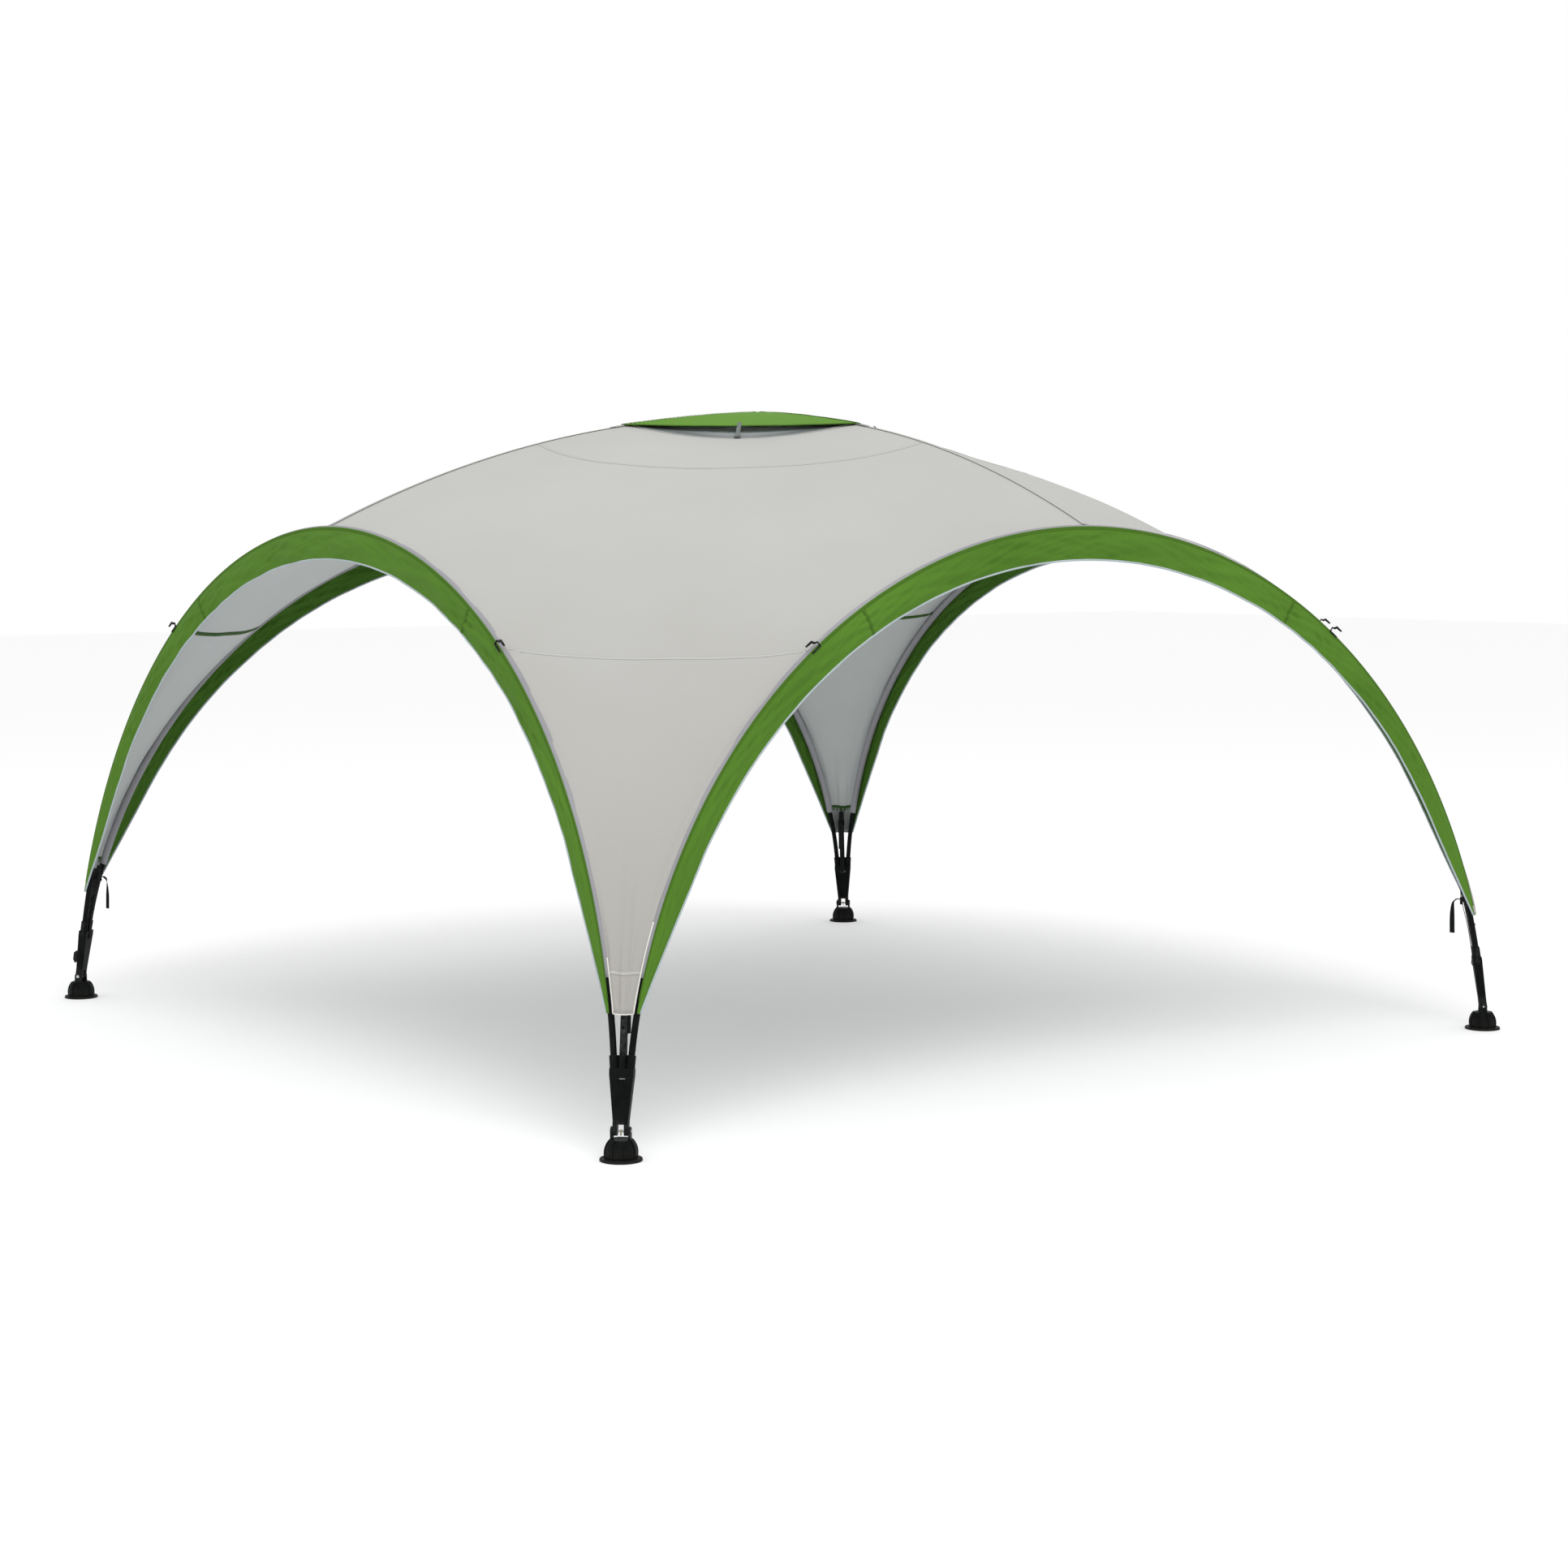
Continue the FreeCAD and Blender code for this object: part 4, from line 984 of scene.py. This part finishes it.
def buildNet():
    around, rings = 144, 22

    def pointAt(a, b):
        turn = 2 * math.pi * b
        rim = panelVentEdge(turn % (2 * math.pi))
        heading = Vector((math.cos(turn), math.sin(turn), 0))
        collar = heading * ventLook["collar"]
        collar.z = ridgePoint(ventLook["collar"]).z - ventLook["netDrop"]
        end = Vector((rim.x * 1.018, rim.y * 1.018, rim.z - 0.0022))
        spot = collar.lerp(end, a)
        fall = ventLook["netFall"] - ventLook["netSlack"] * math.sin(2 * turn) ** 2
        height = collar.z + (end.z - collar.z) * a ** fall
        ripple = ventLook["netRuffle"] * noise.noise(Vector((spot.x * 26, spot.y * 26, 0)))
        return Vector((spot.x, spot.y, height + ripple * math.sin(math.pi * a)))

    net = clothGrid("ventNet", rings, around + 1, pointAt,
                    lambda a, b: ((a * 0.5) * math.cos(2 * math.pi * b),
                                  (a * 0.5) * math.sin(2 * math.pi * b)), [ventNet], 0.0006)
    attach(net, shelter)
    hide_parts("vent_mesh")


def buildTabs():
    look = ventLook
    lists = newLists()
    for quarter in range(4):
        line = sampled(lambda share: turned(ridgePoint(
            look["tabStart"] + look["tabLength"] * share,
            -look["tabLift"] - look["tabRise"] * (1 - share)), quarter), 0.0, 1.0, 17)
        ribbonAlong(lists, line, look["tabWidth"], 0.0014,
                    lambda index: turned(Vector((0, 1, 0)), quarter))
    tabs = meshFromLists("capTabs", lists, [greyWebbing])
    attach(tabs, shelter)
    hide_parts("vent_straps")


buildCap()
buildNet()
buildTabs()
print("vent done")


# corner webbing

strapLook = {"width": 0.020, "thickness": 0.0015, "strutSlope": math.tan(math.radians(11.3)),
             "mouthHeight": 0.290, "slotHeight": 0.226, "buckleHeight": 0.452,
             "buckleLength": 0.024, "legBase": 0.082, "legDepth": 0.031, "strutRadius": 0.0097,
             "halfWire": 0.0053, "tailTwist": 0.9}
mouth = archPoint(archAngle(strapLook["mouthHeight"]))
mouthX = ((mouth.x - shape["halfSpacing"]) + (mouth.y - shape["halfSpacing"])) / math.sqrt(2)
legSlope = mouthX / (strapLook["mouthHeight"] - strapLook["legBase"])


def strutInside(height, gap):
    middle = mouthX - (height - strapLook["mouthHeight"]) * strapLook["strutSlope"]
    return middle - strapLook["strutRadius"] - gap


def smoothLine(places, count):
    # points along a soft curve through the given places
    line = []
    for step in range(count):
        share = step / (count - 1) * (len(places) - 1)
        index = min(int(share), len(places) - 2)
        t = share - index
        p0 = places[max(index - 1, 0)]
        p1, p2 = places[index], places[index + 1]
        p3 = places[min(index + 2, len(places) - 1)]
        line.append((p1 * 2 + (p2 - p0) * t + (p0 * 2 - p1 * 5 + p2 * 4 - p3) * t * t
                     + (p1 * 3 - p0 - p2 * 3 + p3) * t ** 3) * 0.5)
    return line


def buildStraps(quarter, corner):
    look = strapLook
    top = look["buckleHeight"] + look["buckleLength"] / 2
    buckleX = strutInside(top, 0.0065)
    startX = legSlope * (look["slotHeight"] - look["legBase"]) - look["legDepth"] / 2 - 0.0040
    behind = buckleX + look["halfWire"]
    over = (buckleX - look["halfWire"], look["buckleHeight"] + 0.005)
    mainPath = [(startX + 0.012, look["slotHeight"]), (startX, look["slotHeight"] + 0.001),
                (strutInside(0.262, 0.0060), 0.262), (strutInside(0.290, 0.0055), 0.296),
                (strutInside(0.36, 0.0030), 0.36), (behind, 0.436), (behind, 0.4535),
                (buckleX, over[1] + 0.0012), over, (over[0] - 0.009, over[1] + 0.001),
                (over[0] - 0.018, over[1] - 0.005), (over[0] - 0.0235, over[1] - 0.018),
                (over[0] - 0.0250, over[1] - 0.060), (over[0] - 0.024, over[1] - 0.119)]
    anchorPath = [(buckleX - 0.001, top + 0.0012), (buckleX - 0.0025, top + 0.018),
                  (strutInside(0.500, 0.0030), 0.500)]
    lists = newLists()
    across = turned(Vector((-1, 1, 0)).normalized(), quarter)
    for path, count, twist in ((mainPath, 120, look["tailTwist"]), (anchorPath, 24, 0.0)):
        places = [turned(toCorner(x, 0, z), quarter) for x, z in path]

        def side(index):
            # the loose tail turns a little as it hangs
            turn = twist * smooth((index / (count - 1) - 0.76) / 0.2)
            return Matrix.Rotation(turn, 3, "Z") @ across

        ribbonAlong(lists, smoothLine(places, count), look["width"], look["thickness"], side)
    strap = meshFromLists("cornerStrap_" + corner, lists, [blackWebbing])
    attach(strap, shelter)
    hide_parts("corner_strap_" + corner)


for quarter, corner in enumerate(corners):
    buildStraps(quarter, corner)
print("webbing done")


# floor, light and camera

studio = {
    "floorSize": 80.0, "floor": (0.95, 0.95, 0.95), "sky": (1.0, 1.0, 1.0), "skyStrength": 1.0,
    "keyPlace": (-3.5, -6.0, 11.0), "keySize": 6.0, "keyPower": 520.0,
}


def buildStudio():
    size = studio["floorSize"] / 2
    floor = meshObject("studioFloor", [Vector((-size, -size, 0)), Vector((size, -size, 0)),
                                       Vector((size, size, 0)), Vector((-size, size, 0))],
                       [(0, 1, 2, 3)])
    floor.location.z = -0.0005
    material, tree, shader = startMaterial("studioFloorPaint")
    shader.inputs["Base Color"].default_value = (*studio["floor"], 1)
    shader.inputs["Roughness"].default_value = 0.9
    floor.data.materials.append(material)
    world = bpy.data.worlds.new("studioWorld")
    bpy.context.scene.world = world
    world.use_nodes = True
    background = world.node_tree.nodes["Background"]
    background.inputs["Color"].default_value = (*studio["sky"], 1)
    background.inputs["Strength"].default_value = studio["skyStrength"]
    light = bpy.data.lights.new("softKey", "AREA")
    light.energy = studio["keyPower"]
    light.size = studio["keySize"]
    lamp = bpy.data.objects.new("softKey", light)
    lamp.location = studio["keyPlace"]
    aim = Vector((0, 0, 1)) - lamp.location
    lamp.rotation_euler = aim.to_track_quat("-Z", "Y").to_euler()
    bpy.context.scene.collection.objects.link(lamp)


view = {"place": (-6.338, -8.576, 1.738), "turn": -36.97, "down": 4.84, "roll": 0.02,
        "lens": 67.8, "sensor": 36.0}


def buildCamera():
    data = bpy.data.cameras.new("mainCamera")
    data.lens = view["lens"]
    data.sensor_width = view["sensor"]
    camera = bpy.data.objects.new("mainCamera", data)
    camera.location = view["place"]
    camera.rotation_euler = (math.radians(90 - view["down"]), math.radians(view["roll"]),
                             math.radians(view["turn"]))
    bpy.context.scene.collection.objects.link(camera)
    bpy.context.scene.camera = camera


buildStudio()
buildCamera()
bpy.context.scene.view_settings.view_transform = "Standard"
